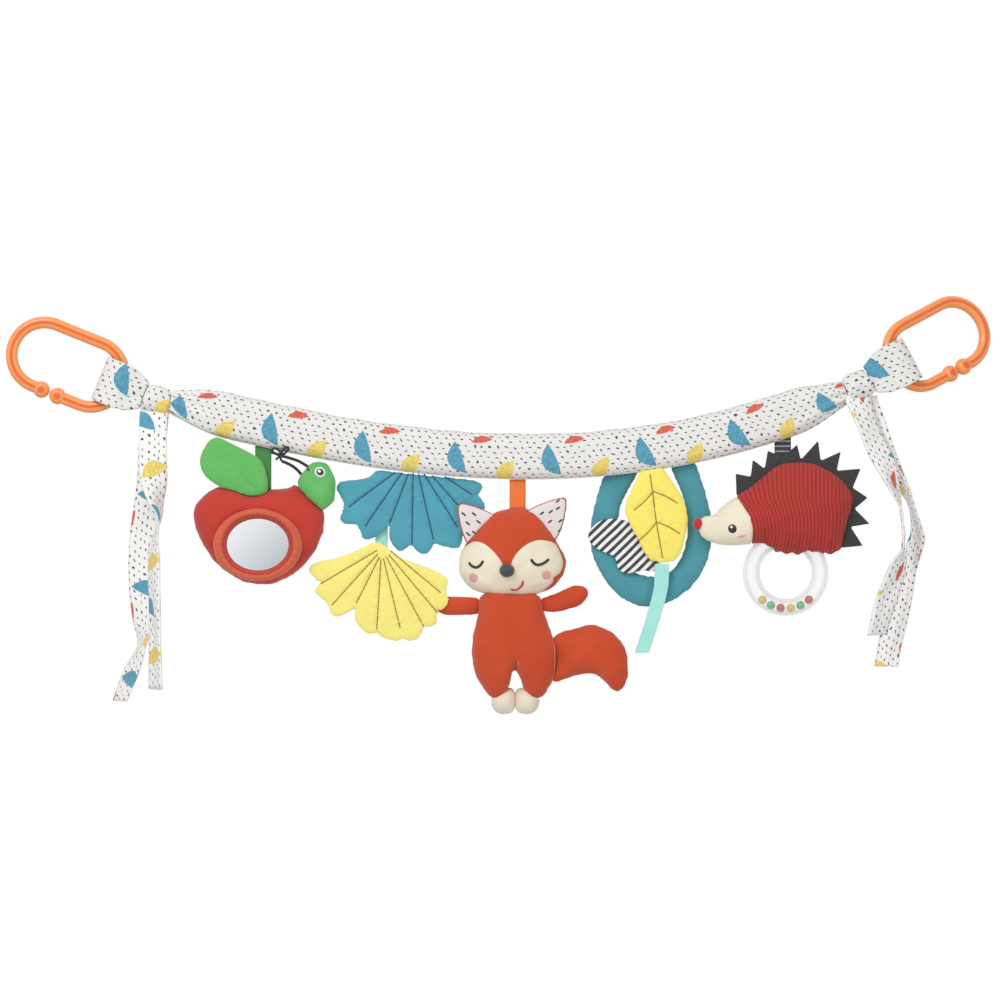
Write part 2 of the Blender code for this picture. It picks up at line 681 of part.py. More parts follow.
STRIPED_SHARES = ((-0.5, -0.27), (-0.375, -0.07), (-0.21, 0), (0.04, -0.04), (0.29, -0.29),
                  (0.5, -0.67),
                  (0.444, -0.955), (0.264, -0.936), (0.028, -1), (-0.097, -0.88), (-0.132, -0.69),
                  (-0.32, -0.59), (-0.47, -0.445))
HEDGEHOG_SHARES = ((-0.468, -0.588), (-0.403, -0.582), (-0.365, -0.505), (-0.255, -0.368),
                   (-0.145, -0.253),
                   (0.003, -0.044), (0.1, 0), (0.216, 0), (0.3, -0.05), (0.41, -0.165), (0.5, -0.363),
                   (0.474, -0.566), (0.442, -0.819), (0.406, -0.984), (0.229, -1), (0.042, -0.989),
                   (-0.068, -0.923), (-0.145, -0.885), (-0.229, -0.896), (-0.345, -0.896),
                   (-0.448, -0.846),
                   (-0.497, -0.753), (-0.494, -0.654))
FACE_LINE_SHARES = ((-0.25, 0.05), (-0.25, -0.36), (-0.168, -0.588), (-0.15, -0.735), (-0.156, -0.88),
                    (-0.156, -1.1), (-0.6, -1.1), (-0.6, 0.05))
SPINE_SHARES = ((-0.25, -0.37), (-0.255, -0.115), (-0.158, -0.148), (-0.145, 0.038), (-0.068, -0.06),
                (-0.048, 0.137), (0.048, 0.071), (0.142, 0.203), (0.165, 0.038), (0.277, 0.247),
                (0.294, 0.027),
                (0.423, 0.126), (0.397, -0.082), (0.552, -0.06), (0.5, -0.27), (0.597, -0.379),
                (0.513, -0.5),
                (0.61, -0.665), (0.487, -0.698), (0.565, -0.907), (0.423, -0.93), (0.3, -0.5),
                (0.1, -0.3),
                (-0.05, -0.35))

# Bezel section: share of the rim from inside to outside, share of the depth forwards
BEZEL_SECTION_SHARES = ((0, 0), (0.02, 0.45), (0.28, 0.88), (0.6, 1), (0.9, 0.7), (1, 0))

# Arms: share of the length, share of the rise, share of the height, share of the depth
LEFT_ARM_SHARES = ((0, 0, 0.85, 0), (0.1, 0, 0.87, 0), (0.2, 0, 0.92, 0.5), (0.5, 0, 1, 0.95),
                   (0.77, 0.02, 0.95, 1), (0.93, 0.04, 0.68, 0.8), (1, 0.05, 0.25, 0.3))
RIGHT_ARM_SHARES = ((0, 0, 0.85, 0), (0.13, 0.05, 0.87, 0), (0.23, 0.15, 0.93, 0.5),
                    (0.42, 0.34, 1.03, 0.9),
                    (0.68, 0.65, 1.2, 1), (0.89, 0.86, 0.98, 0.85), (1, 0.95, 0.3, 0.3))

# Mint ribbons: share of the length down, share of the width aside
MINT_TAIL_SHARES = ((0, 0), (0.25, -0.05), (0.5, -0.42), (0.75, -0.88), (1, -1.4))

# Elastic loop from behind the strap, round behind the worm's head and back, as shares of the apple height
ELASTIC_ROUTE_SHARES = ((-0.018, 0.038, -0.037), (0.036, 0.038, -0.044), (0.08, 0.035, -0.051),
                        (0.111, 0.015, -0.059), (0.133, -0.025, -0.068), (0.174, -0.071, -0.082),
                        (0.225, -0.092, -0.097), (0.29, -0.074, -0.116), (0.351, -0.031, -0.139),
                        (0.402, 0.046, -0.17), (0.451, 0.123, -0.199), (0.513, 0.151, -0.23),
                        (0.554, 0.157, -0.284), (0.533, 0.154, -0.345), (0.474, 0.142, -0.357),
                        (0.416, 0.114, -0.321), (0.37, 0.055, -0.268), (0.333, -0.006, -0.224),
                        (0.287, -0.062, -0.185), (0.228, -0.086, -0.154), (0.182, -0.092, -0.136))

# Finishes
PRINT = material("garland_print", (0.86, 0.86, 0.80), 0.9)
ORANGE_PLASTIC = material("orange_plastic", (0.92, 0.30, 0.08), 0.35)
APPLE_RED = material("apple_red", (0.54, 0.03, 0.02), 0.9)
BEZEL_CORAL = material("bezel_coral", (0.60, 0.09, 0.045), 0.9)
MIRROR = material("mirror", (0.8, 0.82, 0.84), 0.08, 1.0)
LEAF_GREEN = material("leaf_green", (0.11, 0.51, 0.11), 0.9)
STRAP_GREEN = material("strap_green", (0.07, 0.34, 0.07), 0.8)
ELASTIC_BLACK = material("elastic_black", (0.01, 0.01, 0.012), 0.7)
BLUE = material("blue_velour", (0.05, 0.32, 0.42), 0.9)
YELLOW = material("yellow_velour", (0.95, 0.83, 0.19), 0.9)
MINT = material("mint_ribbon", (0.37, 0.79, 0.66), 0.5)
FOX_ORANGE = material("fox_orange", (0.62, 0.08, 0.02), 0.9)
FOX_RIBBON = material("fox_ribbon", (0.87, 0.20, 0.03), 0.5)
CREAM = material("cream_velour", (0.89, 0.80, 0.60), 0.9)
NOSE_GREY = material("nose_grey", (0.06, 0.06, 0.07), 0.8)
STRIPES = material("striped_satin", (0.4, 0.4, 0.4), 0.6)
CORDUROY = material("red_corduroy", (0.40, 0.03, 0.025), 0.95)
FELT = material("black_felt", (0.045, 0.048, 0.055), 0.95)
SNOUT_RED = material("snout_red", (0.7, 0.06, 0.03), 0.8)
CLEAR = material("clear_plastic", (0.9, 0.92, 0.92), 0.1)
TEAL = material("teal_velour", (0.07, 0.36, 0.45), 0.9)
BEADS = (material("bead_yellow", (0.85, 0.7, 0.1), 0.3), material("bead_green", (0.15, 0.6, 0.2), 0.3),
         material("bead_red", (0.7, 0.05, 0.06), 0.3))


# Garland and its ends
def build_garland():
    dress(band("garland_band"), PRINT)
    left, right = knot_centre_left(), knot_centre_right()
    dress(knot("left_knot", left, slope_at(0)), PRINT)
    dress(knot("right_knot", right, slope_at(1)), PRINT)
    up = Vector((0, 0, 1))
    seats = {"left": knot("left_knot_seat", left, slope_at(0), GAP),
             "right": knot("right_knot_seat", right, slope_at(1), GAP)}
    sides = (("left", (0, 0), LEFT_LOOP_SLOPE, -1), ("right", right_eye(), RIGHT_LOOP_SLOPE, 1))
    for side, centre, slope, sign in sides:
        outward = Vector((sign * math.cos(slope), 0, math.sin(slope)))
        fold = (up - outward * outward.z).normalized()
        folded = dress(end_loop(side + "_end_loop", centre, outward, fold), PRINT)
        carve(folded, seats[side])
        turn = RIGHT_LINK_TURN if side == "right" else 0
        dress(link(side + "_link", centre, outward, fold, turn), ORANGE_PLASTIC)


def build_tails():
    under = KNOT_HEIGHT / 2 + GAP
    left, right = knot_centre_left(), knot_centre_right()
    tails = (("left_tail_front", left, LEFT_FRONT_TAIL, -1, LEFT_FRONT_TAIL_SHARES),
             ("left_tail_rear", left, LEFT_REAR_TAIL, 1, LEFT_REAR_TAIL_SHARES),
             ("right_tail_front", right, RIGHT_FRONT_TAIL, -1, RIGHT_FRONT_TAIL_SHARES),
             ("right_tail_rear", right, RIGHT_REAR_TAIL, 1, RIGHT_REAR_TAIL_SHARES))
    for name, knot_place, length, side, shares in tails:
        top = (knot_place[0], knot_place[1] - under)
        dress(tail(name, top, length, side * TAIL_LEAN, shares), PRINT)


# Straps run from the garland's seam to the toy
def hinge(place_share):
    x, z = hang_point(place_share)
    return x, 0, z + GARLAND_DEPTH / 2


def strap(name, place_share, width, length, pivot, toy_cutter):
    x, z = hang_point(place_share)
    levels = (z + OVERRUN, z - length - OVERRUN)
    rows = [strip_section(x, 0, level, width, STRAP_THICKNESS, 0) for level in levels]
    made = loft(name, rows, pivot)
    carve(made, SEAM)
    carve(made, toy_cutter)
    return made


# Apple with its leaf, mirror and worm
def ellipse(centre_x, centre_z, width, height, sides):
    turns = [2 * math.pi * k / sides for k in range(sides)]
    wide, tall = width / 2, height / 2
    return [(centre_x + wide * math.cos(turn), centre_z + tall * math.sin(turn)) for turn in turns]


def apple_shape(name, grow=0.0, pivot=(0, 0, 0)):
    x, z = hang_point(APPLE_PLACE_SHARE)
    top = z - APPLE_DROP
    outline = shaped(placed(APPLE_SHARES, APPLE_WIDTH, APPLE_HEIGHT, x + APPLE_SHIFT, top))
    if grow:
        outline = wider(outline, grow)
    centre = (x + APPLE_SHIFT, top - APPLE_HEIGHT / 2)
    return pillow(name, outline, centre, 0, APPLE_FRONT + grow, APPLE_BACK + grow, pivot)


def build_apple():
    pivot = hinge(APPLE_PLACE_SHARE)
    x, z = hang_point(APPLE_PLACE_SHARE)
    body = dress(apple_shape("apple_body", pivot=pivot), APPLE_RED)
    middle = (x + APPLE_SHIFT, z - APPLE_DROP - BEZEL_DROP)
    seat = ellipse(*middle, BEZEL_WIDTH + 2 * GAP, BEZEL_HEIGHT + 2 * GAP, BEZEL_SIDES)
    carve(body, plate("bezel_seat", seat, -APPLE_FRONT - OVERRUN, -BEZEL_SEAT))
    inner = (BEZEL_WIDTH - 2 * BEZEL_RIM, BEZEL_HEIGHT - 2 * BEZEL_RIM_TALL)
    sections = []
    for k in range(BEZEL_SIDES):
        turn = 2 * math.pi * k / BEZEL_SIDES
        section = []
        for out, lift in BEZEL_SECTION_SHARES:
            across = inner[0] + (BEZEL_WIDTH - inner[0]) * out
            tall = inner[1] + (BEZEL_HEIGHT - inner[1]) * out
            place = (middle[0] + across / 2 * math.cos(turn), -BEZEL_SEAT - GAP - BEZEL_DEPTH * lift)
            section.append(Vector((*place, middle[1] + tall / 2 * math.sin(turn))))
        sections.append(section)
    dress(loft("mirror_bezel", sections, pivot, ring=True), BEZEL_CORAL)
    glass = ellipse(*middle, inner[0] - 2 * GAP, inner[1] - 2 * GAP, BEZEL_SIDES)
    near = -BEZEL_SEAT - GAP - MIRROR_THICKNESS
    dress(plate("mirror_plate", glass, near, near + MIRROR_THICKNESS, pivot), MIRROR)
    dress(strap("apple_strap", APPLE_PLACE_SHARE, APPLE_STRAP_WIDTH, APPLE_DROP + OVERRUN, pivot,
                apple_shape("apple_top_cutter", GAP)), STRAP_GREEN)
    build_apple_leaf(x, z)
    build_worm(x, z, pivot)


def build_apple_leaf(x, z):
    end = x + APPLE_LEAF_SHIFT
    top = z + APPLE_LEAF_RISE
    shape = placed(APPLE_LEAF_SHARES, APPLE_LEAF_WIDTH, APPLE_LEAF_HEIGHT, end - APPLE_LEAF_WIDTH / 2, top)
    centre = (end - APPLE_LEAF_WIDTH / 2, top - APPLE_LEAF_HEIGHT / 2)
    leaf = pillow("apple_leaf", shaped(shape), centre, -APPLE_LEAF_FORWARD, APPLE_LEAF_HALF,
                  APPLE_LEAF_HALF, (end, -APPLE_LEAF_FORWARD, centre[1]), LEAF_RINGS_SHARES)
    carve(leaf, apple_shape("leaf_seat", GAP))
    dress(leaf, LEAF_GREEN)


def build_worm(x, z, pivot):
    centre_x, top = x + WORM_SHIFT, z - WORM_DROP
    shape = placed(WORM_SHARES, WORM_WIDTH, WORM_HEIGHT, centre_x, top)
    outline = shaped(shape)
    middle = (centre_x, top - WORM_HEIGHT / 2)
    head = pillow("worm_head", outline, middle, -WORM_FORWARD, WORM_HALF, WORM_HALF, pivot)
    carve(head, apple_shape("worm_seat", GAP))
    dress(head, LEAF_GREEN)
    line = bpy.data.curves.new("worm_cord", "CURVE")
    line.dimensions = "3D"
    line.bevel_depth = ELASTIC / 2
    line.bevel_resolution = 2
    line.use_fill_caps = True
    shares = ELASTIC_ROUTE_SHARES
    route = [(x + a * APPLE_HEIGHT, b * APPLE_HEIGHT, z + c * APPLE_HEIGHT) for a, b, c in shares]
    points = curve_through(route, closed=False, steps=SHAPE_STEPS)
    spline = line.splines.new("POLY")
    spline.points.add(len(points) - 1)
    for point, place in zip(spline.points, points):
        point.co = (*(Vector(place) - Vector(pivot)), 1)
    cord = bpy.data.objects.new("worm_cord", line)
    cord.location = pivot
    bpy.context.collection.objects.link(cord)
    dress(cord, ELASTIC_BLACK)


# Ginkgo leaves
def build_ginkgo():
    x, z = hang_point(BLUE_LEAF_PLACE_SHARE)
    hinge_z = hinge(FOX_PLACE_SHARE)[2]
    pivot = (x, 0, hinge_z)
    shape = placed(BLUE_LEAF_SHARES, BLUE_LEAF_WIDTH, BLUE_LEAF_HEIGHT, x, z)
    middle = (x, z - BLUE_LEAF_HEIGHT * BLUE_MIDDLE_SHARE)
    leaf = pillow("blue_leaf", shaped(shape), middle, BLUE_LEAF_BACK, BLUE_LEAF_HALF,
                  BLUE_LEAF_HALF, pivot, LEAF_RINGS_SHARES)
    carve(leaf, SEAM)
    carve(leaf, head_shape("blue_leaf_seat", SEAM_GAP))
    dress(leaf, BLUE)
    top = z - YELLOW_GINKGO_DROP
    back = -YELLOW_GINKGO_FORWARD + YELLOW_GINKGO_HALF + GAP
    behind_blue = BLUE_LEAF_BACK + BLUE_LEAF_HALF + GAP + RIBBON_THICKNESS / 2
    behind_yellow = back + RIBBON_THICKNESS / 2
    rows = []
    for level, y in ((top + LEAF_RIBBON_LENGTH - LEAF_RIBBON_TUCK, behind_blue), (top, behind_blue),
                     (top - LEAF_RIBBON_TUCK / 2, behind_yellow), (top - LEAF_RIBBON_TUCK, behind_yellow)):
        rows.append(strip_section(x + LEAF_RIBBON_SHIFT, y, level, RIBBON_WIDTH, RIBBON_THICKNESS, 0))
    dress(loft("leaf_ribbon", rows, pivot), MINT)
    middle_x = x + YELLOW_GINKGO_SHIFT
    shape = placed(YELLOW_GINKGO_SHARES, YELLOW_GINKGO_WIDTH, YELLOW_GINKGO_HEIGHT, middle_x, top)
    outline = shaped(shape)
    yellow = pillow("yellow_ginkgo_leaf", outline, (middle_x, top - YELLOW_GINKGO_HEIGHT / 2),
                    -YELLOW_GINKGO_FORWARD, YELLOW_GINKGO_HALF, YELLOW_GINKGO_HALF,
                    (middle_x, back, top), LEAF_RINGS_SHARES)
    dress(yellow, YELLOW)


# Fox
def head_top():
    return hang_point(FOX_PLACE_SHARE)[1] - HEAD_DROP


def head_shape(name, grow=0.0, pivot=(0, 0, 0)):
    x, top = hang_point(FOX_PLACE_SHARE)[0] + HEAD_SHIFT, head_top()
    outline = shaped(placed(HEAD_SHARES, HEAD_WIDTH, HEAD_HEIGHT, x, top))
    if grow:
        outline = wider(outline, grow)
    middle = (x, top - HEAD_HEIGHT * HEAD_MIDDLE_SHARE)
    return pillow(name, outline, middle, 0, HEAD_HALF + grow, HEAD_HALF + grow, pivot)


def body_shape(name, grow=0.0, pivot=(0, 0, 0)):
    x, top = hang_point(FOX_PLACE_SHARE)[0] + BODY_SHIFT, head_top() - HEAD_HEIGHT
    outline = shaped(placed(BODY_SHARES, BODY_WIDTH, BODY_HEIGHT, x, top))
    if grow:
        outline = wider(outline, grow)
    middle = (x, top - BODY_HEIGHT * BODY_MIDDLE_SHARE)
    return pillow(name, outline, middle, 0, BODY_HALF + grow, BODY_HALF + grow, pivot)


def build_fox():
    pivot = hinge(FOX_PLACE_SHARE)
    x, top = pivot[0] + HEAD_SHIFT, head_top()
    head_seat = head_shape("head_seat", GAP)
    dress(head_shape("fox_head", pivot=pivot), CREAM)
    dress(strap("fox_strap", FOX_PLACE_SHARE, FOX_STRAP_WIDTH, HEAD_DROP, pivot, head_seat), FOX_RIBBON)
    nose = ellipsoid("fox_nose", (x + NOSE_SHIFT, -HEAD_HALF + GAP, top - NOSE_DROP),
                     (NOSE_WIDTH, NOSE_DEPTH * 2, NOSE_HEIGHT), pivot=pivot)
    carve(nose, head_seat)
    dress(nose, NOSE_GREY)
    for name, side, rise in (("fox_ear_left", 1, 0), ("fox_ear_right", -1, RIGHT_EAR_RISE)):
        middle = x - side * EAR_SPREAD
        level = top + EAR_LIFT + rise
        shape = placed([(side * a, b) for a, b in EAR_SHARES], EAR_WIDTH, EAR_HEIGHT, middle, level)
        ear = pillow(name, shaped(shape), (middle, level - EAR_HEIGHT * EAR_MIDDLE_SHARE),
                     -EAR_FORWARD, EAR_HALF, EAR_HALF, pivot, LEAF_RINGS_SHARES)
        carve(ear, head_seat)
        dress(ear, CREAM)
    body = body_shape("fox_body", pivot=pivot)
    carve(body, head_seat)
    dress(body, FOX_ORANGE)
    build_limbs(pivot[0] + BODY_SHIFT, top - HEAD_HEIGHT, pivot)


def limb(name, root, sign, length, rise, back, shares):
    sections = []
    for down, lift, tall_share, deep_share in curve_through(shares, closed=False, steps=SHAPE_STEPS):
        along = sign * (down * length - ARM_TUCK)
        place = Vector(root) + Vector((along, back * down * down, rise * lift))
        tall = ARM_HEIGHT * max(tall_share, 0) / 2
        deep = (ARM_SEAM_DEPTH + (ARM_DEPTH - ARM_SEAM_DEPTH) * max(deep_share, 0)) / 2
        turns = [2 * math.pi * k / ARM_SIDES for k in range(ARM_SIDES)]
        offsets = [Vector((0, deep * math.cos(turn), tall * math.sin(turn))) for turn in turns]
        sections.append([place + offset for offset in offsets])
    return loft(name, sections, root)


def build_limbs(x, top, pivot):
    body_seat = body_shape("body_seat", GAP)
    arm_seat = body_shape("arm_seat", SEAM_GAP)
    arms = (("fox_arm_left", LEFT_ARM_PLACE_SHARE, -1, LEFT_ARM_LENGTH, 0, LEFT_ARM_BACK, LEFT_ARM_SHARES),
            ("fox_arm_right", RIGHT_ARM_PLACE_SHARE, 1, RIGHT_ARM_LENGTH, RIGHT_ARM_RISE, 0,
             RIGHT_ARM_SHARES))
    for name, place_share, sign, length, rise, back, shares in arms:
        root = (x + place_share * BODY_WIDTH, 0, top - ARM_DROP)
        arm = limb(name, root, sign, length, rise, back, shares)
        carve(arm, arm_seat)
        dress(arm, FOX_ORANGE)
    for name, sign in (("fox_foot_left", -1), ("fox_foot_right", 1)):
        centre = (x + FOOT_SHIFT + sign * FOOT_SPREAD / 2, 0, top - BODY_HEIGHT)
        foot = ellipsoid(name, centre, (FOOT_WIDTH, FOOT_DEPTH, FOOT_HEIGHT), pivot=pivot)
        carve(foot, body_seat)
        dress(foot, CREAM)
    root = (x + PLUSH_TAIL_PLACE_SHARE * BODY_WIDTH, 0, top - TAIL_PLUSH_DROP)
    shape = placed(PLUSH_TAIL_SHARES, TAIL_PLUSH_WIDTH, TAIL_PLUSH_HEIGHT, root[0], root[2])
    middle = (root[0] + TAIL_PLUSH_WIDTH / 2, root[2] - TAIL_PLUSH_HEIGHT * PLUSH_MIDDLE_SHARE)
    brush = pillow("fox_tail", shaped(shape), middle, 0, TAIL_PLUSH_HALF, TAIL_PLUSH_HALF, root)
    carve(brush, arm_seat)
    dress(brush, FOX_ORANGE)


# Teal ring with its two leaves and mint ribbon
def build_teal_ring():
    pivot = hinge(TEAL_RING_PLACE_SHARE)
    x, z = hang_point(TEAL_RING_PLACE_SHARE)
    sections = []
    for a, b, c, d in curve_through(TEAL_SHARES, closed=False, steps=SHAPE_STEPS):
        outer = Vector((x + a * TEAL_WIDTH, TEAL_BACK, z + b * TEAL_HEIGHT))
        inner = Vector((x + c * TEAL_WIDTH, TEAL_BACK, z + d * TEAL_HEIGHT))
        middle, half = (outer + inner) / 2, (outer - inner) / 2
        section = []
        for k in range(TUBE_SIDES):
            turn = 2 * math.pi * k / TUBE_SIDES
            section.append(middle + half * math.cos(turn) + Vector((0, TEAL_HALF * math.sin(turn), 0)))
        sections.append(section)
    ring = loft("teal_ring", sections, pivot)
    carve(ring, SEAM)
    dress(ring, TEAL)
    middle_x = x + YELLOW_LEAF_SHIFT
    shape = placed(YELLOW_LEAF_SHARES, YELLOW_LEAF_WIDTH, YELLOW_LEAF_HEIGHT, middle_x, z)
    leaf = pillow("yellow_leaf", shaped(shape), (middle_x, z - YELLOW_LEAF_HEIGHT / 2),
                  -YELLOW_LEAF_FORWARD, YELLOW_LEAF_HALF, YELLOW_LEAF_HALF, pivot, LEAF_RINGS_SHARES)
    carve(leaf, SEAM)
    dress(leaf, YELLOW)
    shape = placed(STRIPED_SHARES, STRIPED_WIDTH, STRIPED_HEIGHT, x + STRIPED_SHIFT, z - STRIPED_DROP)
    near = -YELLOW_LEAF_FORWARD + YELLOW_LEAF_HALF + STRIPED_GAP
    dress(plate("striped_leaf", shaped(shape), near, near + STRIPED_THICKNESS, pivot), STRIPES)
    top = z - YELLOW_LEAF_HEIGHT - MINT_TAIL_GAP
    rows = []
    for down, aside in curve_through(MINT_TAIL_SHARES, closed=False, steps=SHAPE_STEPS):
        rows.append(strip_section(x + MINT_TAIL_SHIFT + aside * MINT_TAIL_WIDTH, -YELLOW_LEAF_FORWARD,
                                  top - down * MINT_TAIL_LENGTH, MINT_TAIL_WIDTH, RIBBON_THICKNESS, 0))
    dress(loft("mint_tail", rows, (x + MINT_TAIL_SHIFT, -YELLOW_LEAF_FORWARD, top)), MINT)


# Hedgehog rattle
def hedgehog_shape(name, grow=0.0, pivot=(0, 0, 0)):
    x, z = hang_point(HEDGEHOG_PLACE_SHARE)
    middle, top = x + HEDGEHOG_SHIFT, z - HEDGEHOG_DROP
    outline = shaped(placed(HEDGEHOG_SHARES, HEDGEHOG_WIDTH, HEDGEHOG_HEIGHT, middle, top))
    if grow:
        outline = wider(outline, grow)
    centre = (middle + HEDGEHOG_WIDTH * HEDGEHOG_MIDDLE_SHARE, top - HEDGEHOG_HEIGHT * HEDGEHOG_LEVEL_SHARE)
    half = HEDGEHOG_HALF + grow
    made = pillow(name, outline, centre, -HEDGEHOG_FORWARD, half, half, pivot)
    rest = -HEDGEHOG_FORWARD - pivot[1]
    tip = middle - HEDGEHOG_WIDTH / 2 - pivot[0]
    for vertex in made.data.vertices:
        share = max(0, min(1, (vertex.co.x - tip) / SNOUT_LENGTH))
        deep_share = SNOUT_DEPTH_SHARE + (1 - SNOUT_DEPTH_SHARE) * share
        vertex.co.y = rest + (vertex.co.y - rest) * deep_share - SNOUT_FORWARD * (1 - share)
    return made


def build_hedgehog():
    pivot = hinge(HEDGEHOG_PLACE_SHARE)
    x, z = hang_point(HEDGEHOG_PLACE_SHARE)
    middle, top = x + HEDGEHOG_SHIFT, z - HEDGEHOG_DROP
    seat = hedgehog_shape("hedgehog_seat", GAP)
    line = placed(FACE_LINE_SHARES, HEDGEHOG_WIDTH, HEDGEHOG_HEIGHT, middle, top)
    reach = HEDGEHOG_HALF + HEDGEHOG_FORWARD + OVERRUN
    tunnel = torus("rattle_tunnel", RATTLE_TUBE / 2 + TUNNEL_CLEARANCE)
    body = hedgehog_shape("hedgehog_body", pivot=pivot)
    carve(body, plate("face_cutter", wider(line, GAP), -reach, reach))
    carve(body, tunnel)
    dress(body, CORDUROY)
    face = hedgehog_shape("hedgehog_face", pivot=pivot)
    carve(face, plate("face_side", line, -reach, reach), "INTERSECT")
    dress(face, CREAM)
    snout = (middle - HEDGEHOG_WIDTH / 2, -HEDGEHOG_FORWARD - SNOUT_FORWARD, top - SNOUT_DROP)
    nose = ellipsoid("hedgehog_nose", snout, (SNOUT_WIDTH, SNOUT_DEPTH, SNOUT_HEIGHT), pivot=pivot)
    carve(nose, seat)
    dress(nose, SNOUT_RED)
    shape = placed(SPINE_SHARES, HEDGEHOG_WIDTH, HEDGEHOG_HEIGHT, middle, top)
    near = -HEDGEHOG_FORWARD - SPINE_THICKNESS / 2
    spines = plate("hedgehog_spines", shape, near, near + SPINE_THICKNESS, pivot)
    carve(spines, seat)
    dress(spines, FELT)
    held = strap("hedgehog_strap", HEDGEHOG_PLACE_SHARE, HEDGEHOG_STRAP_WIDTH, HEDGEHOG_DROP, pivot, seat)
    dress(held, FELT)


def rattle_centre():
    x, z = hang_point(HEDGEHOG_PLACE_SHARE)
    return Vector((x + RATTLE_SHIFT, -HEDGEHOG_FORWARD, z - RATTLE_DROP))


def around(radius, turn):
    return Vector((math.cos(turn), 0, math.sin(turn))) * radius


def torus(name, tube_radius):
    major = (RATTLE_OUTER - RATTLE_TUBE) / 2
    sections = []
    for i in range(RATTLE_STATIONS):
        turn = 2 * math.pi * i / RATTLE_STATIONS
        section = []
        for k in range(TUNNEL_SIDES):
            angle = 2 * math.pi * (k + HALF_SHARE) / TUNNEL_SIDES
            place = around(major + tube_radius * math.cos(angle), turn)
            section.append(rattle_centre() + place + Vector((0, tube_radius * math.sin(angle), 0)))
        sections.append(section)
    return loft(name, sections, ring=True)


def build_rattle():
    centre = rattle_centre()
    major = (RATTLE_OUTER - RATTLE_TUBE) / 2
    bore = RATTLE_TUBE / 2 - RATTLE_WALL
    for name, side in (("rattle_ring_front", -1), ("rattle_ring_rear", 1)):
        profile = []
        for radius, step in ((RATTLE_TUBE / 2, 1), (bore, -1)):
            for k in range(RATTLE_ARC_STEPS + 1)[::step]:
                angle = math.pi * k / RATTLE_ARC_STEPS
                profile.append((radius * math.cos(angle), side * (radius * math.sin(angle) + GAP / 2)))
        sections = []
        for i in range(RATTLE_STATIONS):
            turn = 2 * math.pi * i / RATTLE_STATIONS
            sections.append([centre + around(major + a, turn) + Vector((0, b, 0)) for a, b in profile])
        dress(loft(name, sections, centre, ring=True), CLEAR)
    track = major + bore - BEAD_DIAMETER / 2 - GAP * 2
    for i in range(BEAD_COUNT):
        turn = (i - (BEAD_COUNT - 1) / 2) * BEAD_PITCH - math.pi / 2
        name = f"bead_{i + 1}"
        size = (BEAD_DIAMETER, BEAD_DIAMETER, BEAD_DIAMETER)
        bead = ellipsoid(name, centre + around(track, turn), size, pivot=centre)
        dress(bead, BEADS[i % len(BEADS)])


build_garland()
build_tails()
build_apple()
build_ginkgo()
build_fox()
build_teal_ring()
build_hedgehog()
build_rattle()
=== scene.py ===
# %% [markdown]
# # Pram chain toy
# A soft garland hangs between two snap links and carries five baby toys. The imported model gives
# every sub-part its place and its motion. This script dresses it: sewn and stuffed forms, stitching,
# prints and plastics, each built by code and tied to the body that it moves with.

# %% Frame
import math

import bmesh
import bpy
import numpy as np
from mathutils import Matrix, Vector
from mathutils.bvhtree import BVHTree


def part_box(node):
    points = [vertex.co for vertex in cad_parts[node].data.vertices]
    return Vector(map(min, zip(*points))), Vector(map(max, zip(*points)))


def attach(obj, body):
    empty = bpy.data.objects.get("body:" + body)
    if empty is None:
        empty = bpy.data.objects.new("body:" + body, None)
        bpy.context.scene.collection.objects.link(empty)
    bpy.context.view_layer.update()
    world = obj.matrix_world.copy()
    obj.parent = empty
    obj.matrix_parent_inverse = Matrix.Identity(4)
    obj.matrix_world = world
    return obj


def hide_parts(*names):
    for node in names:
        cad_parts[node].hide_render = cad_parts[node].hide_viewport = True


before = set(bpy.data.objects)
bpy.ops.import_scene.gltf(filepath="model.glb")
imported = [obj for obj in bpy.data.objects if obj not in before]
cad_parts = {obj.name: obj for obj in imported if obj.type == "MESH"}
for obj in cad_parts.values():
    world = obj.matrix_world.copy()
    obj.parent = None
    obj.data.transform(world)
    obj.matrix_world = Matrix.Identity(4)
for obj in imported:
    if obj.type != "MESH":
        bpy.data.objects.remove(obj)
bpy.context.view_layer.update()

PIXEL = 0.00063  # metres on the toy that one pixel of the front view covers
ORIGIN_X, ORIGIN_Y = 117, 384.6  # the pixel where the frame has its origin
VIEW_CENTRE = (0.24129, -0.07270)


def at(px, py):
    """Place in the plane of the toy of a point of the front view, in its pixels."""
    return (px - ORIGIN_X) * PIXEL, (ORIGIN_Y - py) * PIXEL


def outline(points):
    """The same for a list of points."""
    return [at(px, py) for px, py in points]


# %% [markdown]
# ## Camera and light
# A toy that hangs flat is seen straight from the front. A long lens keeps the two ends of the garland
# as large as its middle. Light comes from a pale world and two soft lamps, so that a colour renders
# about as it is written, and the backdrop is white only for rays that miss the toy.

# %% Camera and light
scene = bpy.context.scene
scene.view_settings.view_transform = "Standard"
SENSOR, CAMERA_AWAY, VIEW_WIDE = 36, 3.2, 0.63
camera_data = bpy.data.cameras.new("camera")
camera_data.sensor_width = SENSOR
camera_data.lens = SENSOR * CAMERA_AWAY / VIEW_WIDE
camera = bpy.data.objects.new("camera", camera_data)
camera.location = (VIEW_CENTRE[0], -CAMERA_AWAY, VIEW_CENTRE[1])
camera.rotation_euler = (math.radians(90), 0, 0)
scene.collection.objects.link(camera)
scene.camera = camera


